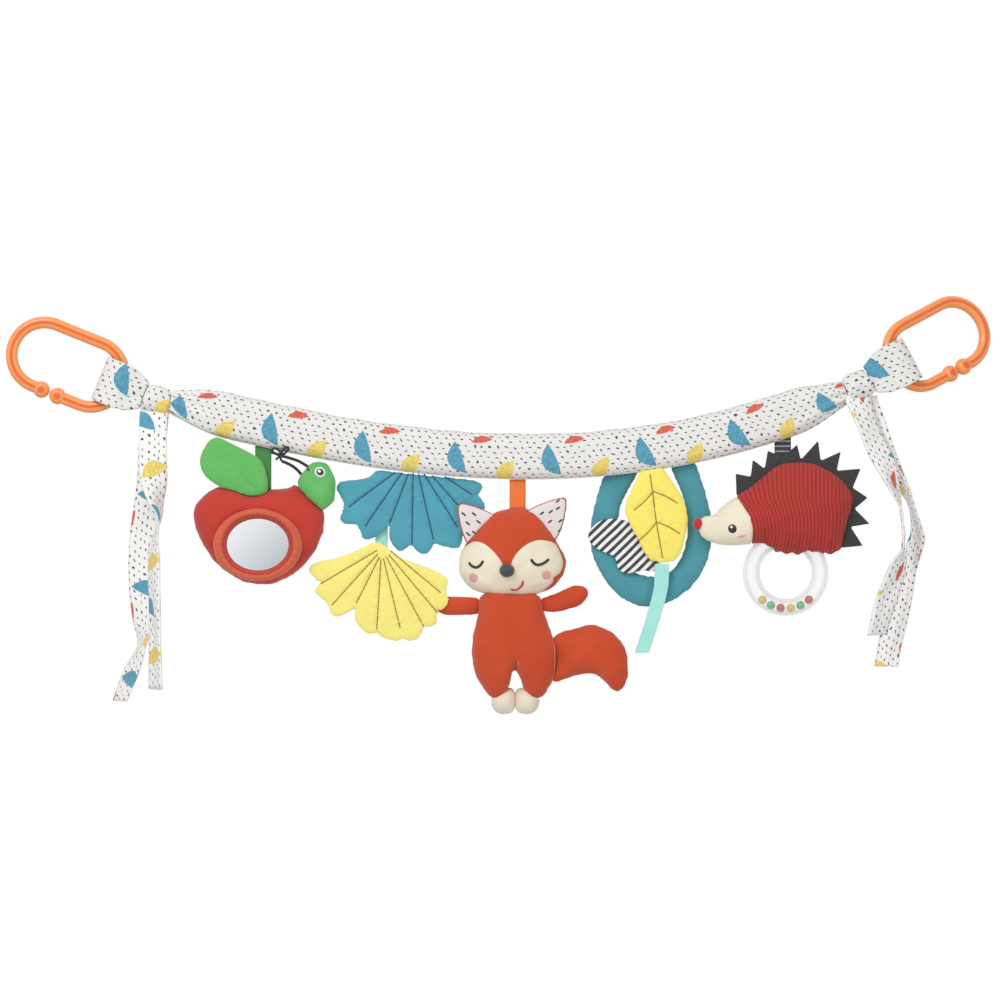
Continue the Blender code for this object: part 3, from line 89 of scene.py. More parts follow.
def lamp(name, place, size, power, target=(0.24, 0, -0.09)):
    """Square soft lamp that faces the middle of the toy."""
    data = bpy.data.lights.new(name, "AREA")
    data.size = size
    data.energy = power
    made = bpy.data.objects.new(name, data)
    made.location = place
    made.rotation_euler = (Vector(target) - Vector(place)).to_track_quat("-Z", "Y").to_euler()
    scene.collection.objects.link(made)


lamp("key", (-0.35, -1.2, 0.85), size=0.7, power=11)
lamp("fill", (1.0, -1.3, 0.3), size=1.0, power=3)
print("camera and lamps ready")

# %% [markdown]
# ## Shader tools
# One small class wraps a socket, so that shader maths reads as plain Python. Numbers and values become
# Math nodes. Colours go through Mix, because a Math node would turn them grey.

# %% Shader tools
class Field:
    """A socket in a node tree that can be added, scaled and compared."""

    def __init__(self, tree, socket):
        self.tree, self.socket = tree, socket

    def __add__(self, other):
        return self.tree.math("ADD", self, other)

    def __sub__(self, other):
        return self.tree.math("SUBTRACT", self, other)

    def __rsub__(self, other):
        return self.tree.math("SUBTRACT", other, self)

    def __mul__(self, other):
        return self.tree.math("MULTIPLY", self, other)

    def __truediv__(self, other):
        return self.tree.math("DIVIDE", self, other)

    def above(self, level, soft):
        """0 below the level and 1 above it, with a soft step."""
        return self.tree.node("ShaderNodeMapRange", {"interpolation_type": "SMOOTHSTEP"}, self,
                              level - soft, level + soft, 0.0, 1.0)

    __radd__, __rmul__ = __add__, __mul__


class Finish:
    """A material with a Principled shader and short calls for its other nodes."""

    def __init__(self, name, roughness=0.9, metallic=0.0, sheen=0.0, coat=0.0):
        self.material = bpy.data.materials.new(name)
        self.material.use_nodes = True
        self.tree = self.material.node_tree
        self.shader = self.tree.nodes["Principled BSDF"]
        self.shader.inputs["Roughness"].default_value = roughness
        self.shader.inputs["Metallic"].default_value = metallic
        self.shader.inputs["Sheen Weight"].default_value = sheen
        self.shader.inputs["Coat Weight"].default_value = coat
        place = self.tree.nodes.new("ShaderNodeTexCoord")
        self.place = Field(self, place.outputs["Object"])

    def node(self, kind, settings, *values, out=0, **named):
        """New node. A value is a field to link or a number to set, by place or by the socket's name."""
        made = self.tree.nodes.new(kind)
        for key, value in settings.items():
            setattr(made, key, value)
        for slot, value in list(enumerate(values)) + list(named.items()):
            socket = made.inputs[slot.replace("_", " ") if isinstance(slot, str) else slot]
            if isinstance(value, Field):
                self.tree.links.new(value.socket, socket)
            elif value is not None:
                socket.default_value = value
        return Field(self, made.outputs[out])

    def math(self, operation, *values):
        return self.node("ShaderNodeMath", {"operation": operation}, *values)

    def axes(self, vector):
        """The three numbers of a vector."""
        made = self.tree.nodes.new("ShaderNodeSeparateXYZ")
        self.tree.links.new(vector.socket, made.inputs[0])
        return [Field(self, made.outputs[k]) for k in range(3)]

    def joined(self, x, y, z=0.0):
        """A vector of three numbers."""
        return self.node("ShaderNodeCombineXYZ", {}, x, y, z)

    def noise(self, scale, detail=2.0, vector=None):
        """Soft noise from 0 to 1. The scale counts its blobs in a metre, or in a unit of the vector."""
        return self.node("ShaderNodeTexNoise", {}, Vector=vector or self.place, Scale=scale, Detail=detail)

    def attribute(self, name):
        """A value that mark() stored on the points of the skin."""
        made = self.tree.nodes.new("ShaderNodeAttribute")
        made.attribute_name = name
        return Field(self, made.outputs["Fac"])

    def mixed(self, factor, first, second, blend="MIX"):
        """Colour between two colours, or their blend; the numbers are the Mix node's colour sockets."""
        made = self.tree.nodes.new("ShaderNodeMix")
        made.data_type, made.blend_type = "RGBA", blend
        for slot, value in ((0, factor), (6, first), (7, second)):
            if isinstance(value, Field):
                self.tree.links.new(value.socket, made.inputs[slot])
            else:
                made.inputs[slot].default_value = (*value, 1) if isinstance(value, tuple) else value
        return Field(self, made.outputs[2])

    def paint(self, colour, roughness=None):
        """Sets the colour, and the roughness where it changes over the form."""
        if isinstance(colour, Field):
            self.tree.links.new(colour.socket, self.shader.inputs["Base Color"])
        else:
            self.shader.inputs["Base Color"].default_value = (*colour, 1)
        if roughness:
            self.tree.links.new(roughness.socket, self.shader.inputs["Roughness"])

    def bump(self, height, depth, strength=0.6):
        """Relief in the shading only; the depth is in metres."""
        made = self.node("ShaderNodeBump", {}, Strength=strength, Distance=depth, Height=height)
        self.tree.links.new(made.socket, self.shader.inputs["Normal"])


def linear(red, green, blue):
    """Colour as seen on the screen, turned into the linear values that shaders use."""
    return tuple(((c / 255 + 0.055) / 1.055) ** 2.4 if c > 10 else c / 255 / 12.92
                 for c in (red, green, blue))


print("shader tools ready")

# %% [markdown]
# ## Backdrop
# The toy hangs in front of white. The floor lies well below it and only catches a faint shadow.

# %% Backdrop
LIGHT_LEVEL, SEEN_LEVEL = 0.56, 1.0  # strength of the sky for the light, and where a ray sees it
FLOOR_PLACE, FLOOR_HALF = (0.24, 0, -0.62), 1.6
world = bpy.data.worlds.new("studio")
world.use_nodes = True
scene.world = world
nodes, links = world.node_tree.nodes, world.node_tree.links
rays = nodes.new("ShaderNodeLightPath")
add_one, add_two = nodes.new("ShaderNodeMath"), nodes.new("ShaderNodeMath")
for adder in (add_one, add_two):
    adder.operation = "MAXIMUM"
links.new(rays.outputs["Is Camera Ray"], add_one.inputs[0])
links.new(rays.outputs["Is Transmission Ray"], add_one.inputs[1])
links.new(add_one.outputs[0], add_two.inputs[0])
links.new(rays.outputs["Is Glossy Ray"], add_two.inputs[1])
level = nodes.new("ShaderNodeMapRange")
level.inputs["To Min"].default_value = LIGHT_LEVEL
level.inputs["To Max"].default_value = SEEN_LEVEL
links.new(add_two.outputs[0], level.inputs["Value"])
sky = nodes["Background"]
sky.inputs["Color"].default_value = (1, 1, 1, 1)
links.new(level.outputs[0], sky.inputs["Strength"])

grid = bmesh.new()
bmesh.ops.create_grid(grid, x_segments=1, y_segments=1, size=FLOOR_HALF)
bmesh.ops.translate(grid, vec=FLOOR_PLACE, verts=grid.verts)
floor_mesh = bpy.data.meshes.new("floor")
grid.to_mesh(floor_mesh)
grid.free()
floor = bpy.data.objects.new("floor", floor_mesh)
scene.collection.objects.link(floor)
floor_finish = Finish("floor_white", 0.9)
floor_finish.paint((0.86, 0.86, 0.86))
floor_mesh.materials.append(floor_finish.material)
print("floor at", FLOOR_PLACE[2])

# %% [markdown]
# ## Soft form tools
# A stuffed toy starts as the solid that the model gives it. Voxel remeshing turns that solid into an
# even skin, a smoothing pass rounds its facets, and a short cloth simulation with air pressure swells
# it. The cap keeps each point near its solid, so the toy stays the size that was measured.

# %% Soft form tools
pieces = {}


def new_piece(name, mesh):
    """Makes an object of a bmesh, with its faces outwards and smooth."""
    bmesh.ops.recalc_face_normals(mesh, faces=mesh.faces)
    data = bpy.data.meshes.new(name)
    mesh.to_mesh(data)
    mesh.free()
    data.shade_smooth()
    made = bpy.data.objects.new(name, data)
    scene.collection.objects.link(made)
    pieces[name] = made
    return made


def merged(*names):
    """One bmesh of CAD nodes with their loose triangles joined."""
    mesh = bmesh.new()
    for name in names:
        mesh.from_mesh(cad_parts[name].data)
    bmesh.ops.remove_doubles(mesh, verts=mesh.verts, dist=0.000001)
    return mesh


def applied(piece):
    """Turns the evaluated form into the piece's own mesh and takes its modifiers off."""
    piece.data = bpy.data.meshes.new_from_object(piece.evaluated_get(bpy.context.evaluated_depsgraph_get()))
    piece.modifiers.clear()
    piece.data.shade_smooth()
    return piece


def skin(name, nodes, voxel, smooth=4, grow=0.0):
    """Even skin over CAD nodes. Smoothing pulls it in a little, which grow gives back."""
    piece = new_piece(name, merged(*nodes))
    step = piece.modifiers.new("remesh", "REMESH")
    step.mode, step.voxel_size = "VOXEL", voxel
    if smooth:
        ease = piece.modifiers.new("ease", "SMOOTH")
        ease.factor, ease.iterations = 0.5, smooth
    applied(piece)
    if grow:
        move(piece, points_of(piece) + normals_of(piece) * grow)
    return piece


def points_of(piece, what="co"):
    """Places of all points of a piece, one a row."""
    values = np.empty(len(piece.data.vertices) * 3)
    piece.data.vertices.foreach_get(what, values)
    return values.reshape(-1, 3)


def normals_of(piece):
    """Directions out of the skin at its points."""
    return points_of(piece, "normal")


def move(piece, places):
    """Puts all points of a piece at the given places."""
    piece.data.vertices.foreach_set("co", places.ravel())
    piece.data.update()


def swell(soft, pressure=4.0, frames=20):
    """Blows several skins up with cloth. soft maps each piece to the most that a point may move."""
    starts = {piece: points_of(piece) for piece in soft}
    for piece in soft:
        settings = piece.modifiers.new("cloth", "CLOTH").settings
        settings.quality = 5
        settings.use_pressure = True
        settings.uniform_pressure_force = pressure
        settings.effector_weights.gravity = 0
    for count in range(1, frames + 1):
        scene.frame_set(count)
    for piece, cap in soft.items():
        applied(piece)
        step = points_of(piece) - starts[piece]
        reach = np.linalg.norm(step, axis=1, keepdims=True)
        move(piece, starts[piece] + step * np.minimum(1, cap / np.maximum(reach, 0.000001)))
    scene.frame_set(1)
    print("swelled", [piece.name for piece in soft])


def finer(piece):
    """Splits every face in four along a smooth surface."""
    step = piece.modifiers.new("finer", "SUBSURF")
    step.levels = step.render_levels = 1
    return applied(piece)


def bridged(mesh, rows, capped=True, chart=None, spot=None):
    """Skin through rows of points that each go once round. spot(row, column) is a place on flat cloth."""
    for i, (near, far) in enumerate(zip(rows, rows[1:])):
        for k in range(len(near)):
            after = (k + 1) % len(near)
            face = mesh.faces.new((near[k], near[after], far[after], far[k]))
            if spot:
                for loop, corner in zip(face.loops, ((i, k), (i, k + 1), (i + 1, k + 1), (i + 1, k))):
                    loop[chart].uv = spot(*corner)
    if capped:
        mesh.faces.new(rows[0])
        mesh.faces.new(rows[-1])


print("soft form tools ready")


# %% [markdown]
# ## Drawing on a form
# A printed or pieced boundary is stored as a signed distance on the points of the skin. A shader turns
# that smooth value into a crisp edge, whatever the size of the faces. Lines that stand proud, such as
# embroidery, are laid on the skin by looking for it along the view.

# %% Drawing on a form
def line_distance(places, line, closed=False):
    """Distance in the plane of the toy from each place to a line of points."""
    spots = places[:, [0, 2]]
    corners = np.array(line, dtype=float)
    ends = np.roll(corners, -1, axis=0) if closed else corners[1:]
    starts = corners if closed else corners[:-1]
    best = np.full(len(spots), 9.0)
    for a, b in zip(starts, ends):
        along = b - a
        share = np.clip(((spots - a) @ along) / max(along @ along, 1e-12), 0, 1)
        best = np.minimum(best, np.linalg.norm(spots - a - share[:, None] * along, axis=1))
    return best


def area_distance(places, shape):
    """The same for a closed shape, positive inside."""
    spots = places[:, [0, 2]]
    inside = np.zeros(len(spots), dtype=bool)
    for (ax, az), (bx, bz) in zip(shape, shape[1:] + shape[:1]):
        if az != bz:
            hit = (spots[:, 1] > az) != (spots[:, 1] > bz)
            inside ^= hit & (spots[:, 0] < (bx - ax) * (spots[:, 1] - az) / (bz - az) + ax)
    return np.where(inside, 1, -1) * line_distance(places, shape, True)


def mark(piece, name, values):
    """Stores one value a point, in millimetres."""
    layer = piece.data.attributes.new(name, "FLOAT", "POINT")
    layer.data.foreach_set("value", np.asarray(values, dtype=np.float32) * 1000)


def smooth_line(points, steps=6, closed=False):
    """Points on a smooth curve through the given ones."""
    count = len(points)
    result = []
    for i in range(count if closed else count - 1):
        turns = [(i + k) % count if closed else min(max(i + k, 0), count - 1) for k in (-1, 0, 1, 2)]
        a, b, c, d = (np.array(points[turn], dtype=float) for turn in turns)
        for k in range(steps):
            t = k / steps
            bend, twist = 2 * a - 5 * b + 4 * c - d, 3 * b - a - 3 * c + d
            value = (2 * b + (c - a) * t + bend * t * t + twist * t ** 3) / 2
            result.append(tuple(float(v) for v in value))
    if not closed:
        result.append(tuple(float(v) for v in points[-1]))
    return result


def skin_tree(piece):
    """Search tree over the faces of a piece, which finds where a ray meets it."""
    mesh = piece.data
    return BVHTree.FromPolygons([v.co for v in mesh.vertices], [p.vertices for p in mesh.polygons])


def laid(piece, line, lift, back=False):
    """Points of the line on the piece's front or back skin, lifted a little."""
    tree = skin_tree(piece)
    side = 1 if back else -1
    result = []
    for x, z in line:
        hit, normal, _, _ = tree.ray_cast(Vector((x, side, z)), Vector((0, -side, 0)))
        if hit:
            result.append(hit + normal * lift)
    return result


print("drawing tools ready")

# %% [markdown]
# ## Stitches
# Sewn lines are rows of short raised threads. Geometry Nodes resample each line by length and set one
# small thread on every point, turned along the line. The sizes are named inputs of the tree.

# %% Stitches
def stitch_tree():
    """Node tree: resample a row, put a long bead on each point, make it real, give it its finish."""
    tree = bpy.data.node_groups.new("stitch_row", "GeometryNodeTree")
    face = tree.interface
    face.new_socket("Lines", in_out="INPUT", socket_type="NodeSocketGeometry")
    for label, value in (("Pitch", 0.0021), ("Stitch Length", 0.0014), ("Thread", 0.00028)):
        face.new_socket(label, in_out="INPUT", socket_type="NodeSocketFloat").default_value = value
    face.new_socket("Finish", in_out="INPUT", socket_type="NodeSocketMaterial")
    face.new_socket("Stitches", in_out="OUTPUT", socket_type="NodeSocketGeometry")
    source, result = tree.nodes.new("NodeGroupInput"), tree.nodes.new("NodeGroupOutput")
    curve = tree.nodes.new("GeometryNodeMeshToCurve")
    row = tree.nodes.new("GeometryNodeResampleCurve")
    row.mode = "LENGTH"
    tangent = tree.nodes.new("GeometryNodeInputTangent")
    turn = tree.nodes.new("FunctionNodeAlignRotationToVector")
    turn.axis = "Z"
    thread = tree.nodes.new("GeometryNodeMeshUVSphere")
    thread.inputs["Segments"].default_value = 6
    thread.inputs["Rings"].default_value = 5
    thread.inputs["Radius"].default_value = 1
    size = tree.nodes.new("ShaderNodeCombineXYZ")
    half = tree.nodes.new("ShaderNodeMath")
    half.operation = "MULTIPLY"
    half.inputs[1].default_value = 0.5
    put = tree.nodes.new("GeometryNodeInstanceOnPoints")
    real = tree.nodes.new("GeometryNodeRealizeInstances")
    paint = tree.nodes.new("GeometryNodeSetMaterial")
    link = tree.links.new
    link(source.outputs["Lines"], curve.inputs["Mesh"])
    link(curve.outputs[0], row.inputs["Curve"])
    link(source.outputs["Pitch"], row.inputs["Length"])
    link(row.outputs[0], put.inputs["Points"])
    link(thread.outputs["Mesh"], put.inputs["Instance"])
    link(tangent.outputs[0], turn.inputs["Vector"])
    link(turn.outputs[0], put.inputs["Rotation"])
    link(source.outputs["Stitch Length"], half.inputs[0])
    link(half.outputs[0], size.inputs["Z"])
    link(source.outputs["Thread"], size.inputs["X"])
    link(source.outputs["Thread"], size.inputs["Y"])
    link(size.outputs[0], put.inputs["Scale"])
    link(put.outputs[0], real.inputs[0])
    link(real.outputs[0], paint.inputs["Geometry"])
    link(source.outputs["Finish"], paint.inputs["Material"])
    link(paint.outputs[0], result.inputs["Stitches"])
    return tree


STITCH_ROW = stitch_tree()


def stitches(name, lines, finish, pitch=0.0021, length=0.0015, thread=0.00028):
    """Rows of stitches along lines of places. Returns one plain mesh piece."""
    mesh = bmesh.new()
    for line in lines:
        row = [mesh.verts.new(place) for place in line]
        for a, b in zip(row, row[1:]):
            mesh.edges.new((a, b))
    data = bpy.data.meshes.new(name)
    mesh.to_mesh(data)
    mesh.free()
    made = bpy.data.objects.new(name, data)
    scene.collection.objects.link(made)
    step = made.modifiers.new("stitches", "NODES")
    step.node_group = STITCH_ROW
    values = {"Pitch": pitch, "Stitch Length": length, "Thread": thread, "Finish": finish.material}
    for item in STITCH_ROW.interface.items_tree:
        if item.in_out == "INPUT" and item.name in values:
            step[item.identifier] = values[item.name]
    applied(made)
    pieces[name] = made
    return made


def rides(piece, finish, body):
    """Gives a piece its finish and ties it to its body."""
    piece.data.materials.clear()
    piece.data.materials.append(finish.material)
    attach(piece, body)
    return piece


def dressed(piece, finish, body, *nodes, slot, fill=None):
    """The same for a piece that stands for CAD nodes, which it hides. The slot is not used."""
    rides(piece, finish, body)
    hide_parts(*nodes)
    return piece


print("stitch tree ready")

# %% [markdown]
# ## Printed cotton
# The garland, its loops and its tails share one cotton print: short dark dashes in staggered rows and
# loose pointed leaves in three colours. The layout is a plain rule of this script. Distances are in
# millimetres along the cloth, so the print keeps its scale on every piece. On the band and the tails
# the cloth has its own UV map in metres; the small knots and loops read their place instead.

# %% Printed cotton
COTTON = linear(234, 232, 229)
INK = linear(58, 58, 62)
MOTIFS = (  # colour, vein, centre along, centre up, tilt, half length, half width
    (linear(88, 166, 192), linear(66, 140, 170), 6.0, 16.0, 112, 10.6, 4.8),
    (linear(240, 218, 116), linear(226, 200, 92), 37.0, 9.0, 68, 9.4, 4.9),
    (linear(224, 98, 66), linear(206, 80, 54), 22.0, 29.5, 10, 6.8, 2.5),
)
ROW_STEP, DASH_STEP, ROW_SHIFT = 3.3, 5.2, 2.35  # rows of dashes: height, step and shift a row
REPEAT_ALONG, REPEAT_UP = 59.0, 38.0  # how far apart one leaf comes again


def shade(colour, factor):
    """Darker or lighter version of a colour."""
    return tuple(min(1.0, c * factor) for c in colour)


def print_finish(along, up, tree, cotton=COTTON):
    """Cotton print; along and up are distances on the cloth in millimetres. Noise makes it hand drawn."""
    cloth = tree.joined(along, up)
    wobble = tree.noise(0.11, 2, cloth) - 0.5
    rough = tree.noise(0.9, 3, cloth) - 0.5
    level = up + (tree.noise(0.16, 2, tree.joined(along + 40, up)) - 0.5) * 5.0
    shift = along + tree.math("FLOOR", level / ROW_STEP) * ROW_SHIFT + wobble * 6.0
    cell_x = (tree.math("FRACT", shift / DASH_STEP) - 0.5) * DASH_STEP
    cell_y = (tree.math("FRACT", level / ROW_STEP) - 0.5) * ROW_STEP
    lean = cell_y + cell_x * 0.25
    dash = 1 - (cell_x * cell_x * 1.15 + lean * lean * 4.4)
    wash = tree.noise(0.4, 3, cloth).above(0.5, 0.3)
    colour = tree.mixed(dash.above(0.0, 0.3) * 0.95, cotton, INK)
    for tint, vein, mid_x, mid_y, tilt, half_long, half_wide in MOTIFS:
        x = tree.math("WRAP", along - mid_x, REPEAT_ALONG / 2, -REPEAT_ALONG / 2)
        y = tree.math("WRAP", up - mid_y, REPEAT_UP / 2, -REPEAT_UP / 2)
        cosine, sine = math.cos(math.radians(tilt)), math.sin(math.radians(tilt))
        a, b = x * cosine + y * sine, y * cosine - x * sine
        bowed = b + a * a * 0.03
        inside = (1 - a * a * (1 / half_long ** 2)) * half_wide - tree.math("ABSOLUTE", bowed)
        leaf = (inside + rough * 1.3).above(0.0, 0.22)
        ribs = tree.math("PINGPONG", a * 0.8 + bowed * 0.5, 1.0).above(0.66, 0.3)
        ink = tree.mixed(wash, shade(tint, 1.12), shade(vein, 0.92))
        colour = tree.mixed(leaf * 0.96, colour, tree.mixed(ribs * 0.7, ink, vein))
    tree.paint(colour)
    tree.bump(tree.noise(2.2, 2, cloth), 0.00012, 0.35)
    return tree


def cloth_print(name, cotton=COTTON):
    """The print on a piece that has its own flat cloth, as a UV map in metres."""
    tree = Finish(name, 0.9, sheen=0.12)
    along, up, _ = tree.axes(tree.node("ShaderNodeUVMap", {"uv_map": "cloth"}))
    return print_finish(along * 1000, up * 1000, tree, cotton)


def placed_print(name, turn, shift):
    """The same print on a small piece, laid along its own slope."""
    tree = Finish(name, 0.9, sheen=0.12)
    x, _, z = tree.axes(tree.place)
    cosine, sine = math.cos(turn) * 1000, math.sin(turn) * 1000
    return print_finish(x * cosine + z * sine + shift[0], z * cosine - x * sine + shift[1], tree)


BAND_PRINT = cloth_print("band_print")
TAIL_PRINT_PAINTED_LIGHT = cloth_print("tail_print_painted_light", linear(247, 246, 244))  # painted light: the tails' cotton is lighter, against the shade they get where they turn away
LEFT_PRINT = placed_print("left_print", math.radians(-22), (4, 12))
RIGHT_PRINT = placed_print("right_print", math.radians(28), (-6, 3))
print("prints ready")

# %% [markdown]
# ## Garland band
# The band is a padded tube whose shape follows a rule: a hanging curve, a stadium section and a gather
# at each end. Its rows and columns are computed straight from that rule, which gives even faces and a
# UV map that follows the cloth. Gathered cloth folds, so pleats run out of each knot and fade, and
# shallow creases cross the rest.

# %% Garland band
SPAN, SAG, RISE, SKEW = 0.425, 0.038, 0.006, 0.2  # the hanging curve, measured as for the model
BAND_HEIGHT, BAND_DEPTH = 0.029, 0.016
GATHER, GATHER_SHARE, GATHER_DEPTH = 0.036, 0.42, 0.3  # length of a gathered end, and what it keeps
LOOP_REACH, KNOT_LENGTH, KNOT_HEIGHT, LIFT = 0.0271, 0.0165, 0.0185, 0.0021
GAP = 0.0003  # what the model leaves between neighbours
LEFT_SLOPE, RIGHT_SLOPE = math.radians(22), math.radians(28)
LEFT_KNOT = (LOOP_REACH * math.cos(LEFT_SLOPE), -LOOP_REACH * math.sin(LEFT_SLOPE))


def band_slope(share):
    """Turn of the hanging curve at a share of the way from left to right."""
    across = 2 * share - 1
    bend = SKEW * (1 - across * across) - 2 * across * (1 + SKEW * across)
    return math.atan((RISE - 2 * SAG * bend) / SPAN)


KNOT_HALF, LEFT_TURN, RIGHT_TURN = KNOT_LENGTH / 2 + GAP, band_slope(0), band_slope(1)
# The band starts at FIRST; its middle lies LIFT above the middle of the left knot.
FIRST = (LEFT_KNOT[0] + KNOT_HALF * math.cos(LEFT_TURN) - LIFT * math.sin(LEFT_TURN),
         LEFT_KNOT[1] + KNOT_HALF * math.sin(LEFT_TURN) + LIFT * math.cos(LEFT_TURN))
RIGHT_KNOT = (FIRST[0] + SPAN + KNOT_HALF * math.cos(RIGHT_TURN),
              FIRST[1] + RISE + KNOT_HALF * math.sin(RIGHT_TURN))


def band_z(share):
    """Height of the hanging curve."""
    across = 2 * share - 1
    return FIRST[1] - SAG * (1 - across * across) * (1 + SKEW * across) + share * RISE


def stadium(share, radius, straight):
    """Place and direction on a stadium section, from its lowest point up the front, over and down."""
    quarter = math.pi * radius / 2
    run = share * (4 * quarter + 4 * straight)
    rear = run > 2 * quarter + 2 * straight
    if rear:
        run = 4 * quarter + 4 * straight - run
    if run < quarter:
        out_y, out_level = -math.sin(run / radius), -math.cos(run / radius)
        y, level = radius * out_y, radius * out_level - straight
    elif run < quarter + 2 * straight:
        out_y, out_level = -1, 0
        y, level = -radius, run - quarter - straight
    else:
        turn = (run - quarter - 2 * straight) / radius
        out_y, out_level = -math.cos(turn), math.sin(turn)
        y, level = radius * out_y, radius * out_level + straight
    return (-y if rear else y), level, (-out_y if rear else out_y), out_level


PLEATS, PLEAT_DEPTH, PLEAT_FADE = 8, 0.0013, 0.016  # folds that run out of a knot
WAVE_DEPTH, PUFF = 0.0003, 0.0009  # shallow creases, and how far the filling rounds the flat sides
SEAM_DEPTH, SEAM_FADE = 0.0003, 0.0006  # the sewn lower edge
EDGE_FADE = 0.006  # the lower edge stays quiet over this height
FRONT_COLUMN = 15  # the column down the front, along which the flat cloth is measured


def garland(around=60, along=230):
    """Padded band, row by row from the left knot to the right one."""
    mesh = bmesh.new()
    chart = mesh.loops.layers.uv.new("cloth")
    rows, travel = [], [0.0]
    for i in range(along + 1):
        share = (1 - math.cos(math.pi * i / along)) / 2  # rows lie closer near the knots
        x, z, slope = FIRST[0] + share * SPAN, band_z(share), band_slope(share)
        reach = min(share, 1 - share) * SPAN
        ease = math.sin(min(1, reach / GATHER) * math.pi / 2)
        height = BAND_HEIGHT * (GATHER_SHARE + (1 - GATHER_SHARE) * ease)
        depth = BAND_DEPTH * (GATHER_DEPTH + (1 - GATHER_DEPTH) * height / BAND_HEIGHT)
        radius, straight = depth / 2, (height - depth) / 2
        row = []
        for k in range(around):
            y, level, out_y, out_level = stadium(k / around, radius, straight)
            turn = 2 * math.pi * k / around
            pleat = math.cos(PLEATS * turn + 2.5 * math.sin(share * 31))
            folds = PLEAT_DEPTH * math.exp(-reach / PLEAT_FADE) * pleat
            wave = math.sin(share * 61 + level * 160) * math.sin(share * 23 + turn)
            wave += 0.5 * math.sin(share * 131 + level * 260)
            above_edge = level + height / 2
            quiet = min(1, max(0, above_edge / EDGE_FADE))
            puff = PUFF * max(0, 1 - (2 * level / height) ** 2) * abs(out_y)
            seam = SEAM_DEPTH * math.exp(-above_edge / SEAM_FADE) if reach > EDGE_FADE else 0
            out = folds + WAVE_DEPTH * wave * quiet * ease + puff - seam
            y, level = y + out_y * out, level + out_level * out
            row.append(mesh.verts.new((x - level * math.sin(slope), y, z + level * math.cos(slope))))
        if rows:
            travel.append(travel[-1] + (row[FRONT_COLUMN].co - rows[-1][FRONT_COLUMN].co).length)
        rows.append(row)
    girth = 2 * (BAND_HEIGHT - BAND_DEPTH) + math.pi * BAND_DEPTH
    bridged(mesh, rows, chart=chart, spot=lambda a, b: (travel[a], girth * b / around))
    return new_piece("garland_cloth", mesh)


band = garland()
dressed(band, BAND_PRINT, "garland", "garland_band", slot="garland_print", fill=0.75)
print("band faces", len(band.data.polygons))

# %% [markdown]
# ## Knots, loops and tails
# At each end the band is folded round its link and tied down by a wrap, whose two ends hang as tails.
# The wrap and the loop are creased cotton over a firm core, so a fine skin over the solids carries
# creases that converge on the knot. The tails are single strips of cloth that twist as they hang. Each
# is built from its own centre line, with a hem along its edges.

# %% Knots and loops
def creased(name, node, centre, slope, finish, voxel=0.0011, depth=0.0006, count=5):
    """Skin with creases that run along the slope and gather at the centre."""
    piece = skin(name, [node], voxel, smooth=3)
    places, outward = points_of(piece), normals_of(piece)
    dx, dz = places[:, 0] - centre[0], places[:, 2] - centre[1]
    along = dx * math.cos(slope) + dz * math.sin(slope)
    across = dz * math.cos(slope) - dx * math.sin(slope)
    spread = 0.006 + 0.35 * np.abs(along)  # creases fan out from the centre
    wave = np.sin(across / spread * count + 1.3 * np.sin(along * 210))
    fade = np.exp(-np.abs(along) / 0.02)
    move(piece, places + outward * (depth * wave * fade)[:, None])
    return dressed(piece, finish, "garland", node, slot="garland_print", fill=0.3)


RIGHT_EYE = (RIGHT_KNOT[0] + LOOP_REACH * math.cos(RIGHT_SLOPE),
             RIGHT_KNOT[1] + LOOP_REACH * math.sin(RIGHT_SLOPE))
UPRIGHT = math.pi / 2
creased("left_knot_cloth", "left_knot", LEFT_KNOT, LEFT_TURN + UPRIGHT, LEFT_PRINT, count=3)
creased("right_knot_cloth", "right_knot", RIGHT_KNOT, RIGHT_TURN + UPRIGHT, RIGHT_PRINT, count=3)
creased("left_loop_cloth", "left_end_loop", LEFT_KNOT, -LEFT_SLOPE, LEFT_PRINT, 0.0007, 0.0005)
creased("right_loop_cloth", "right_end_loop", RIGHT_KNOT, RIGHT_SLOPE, RIGHT_PRINT, 0.0007, 0.0005)
print("knots and loops done, right eye at", [round(v, 4) for v in RIGHT_EYE])

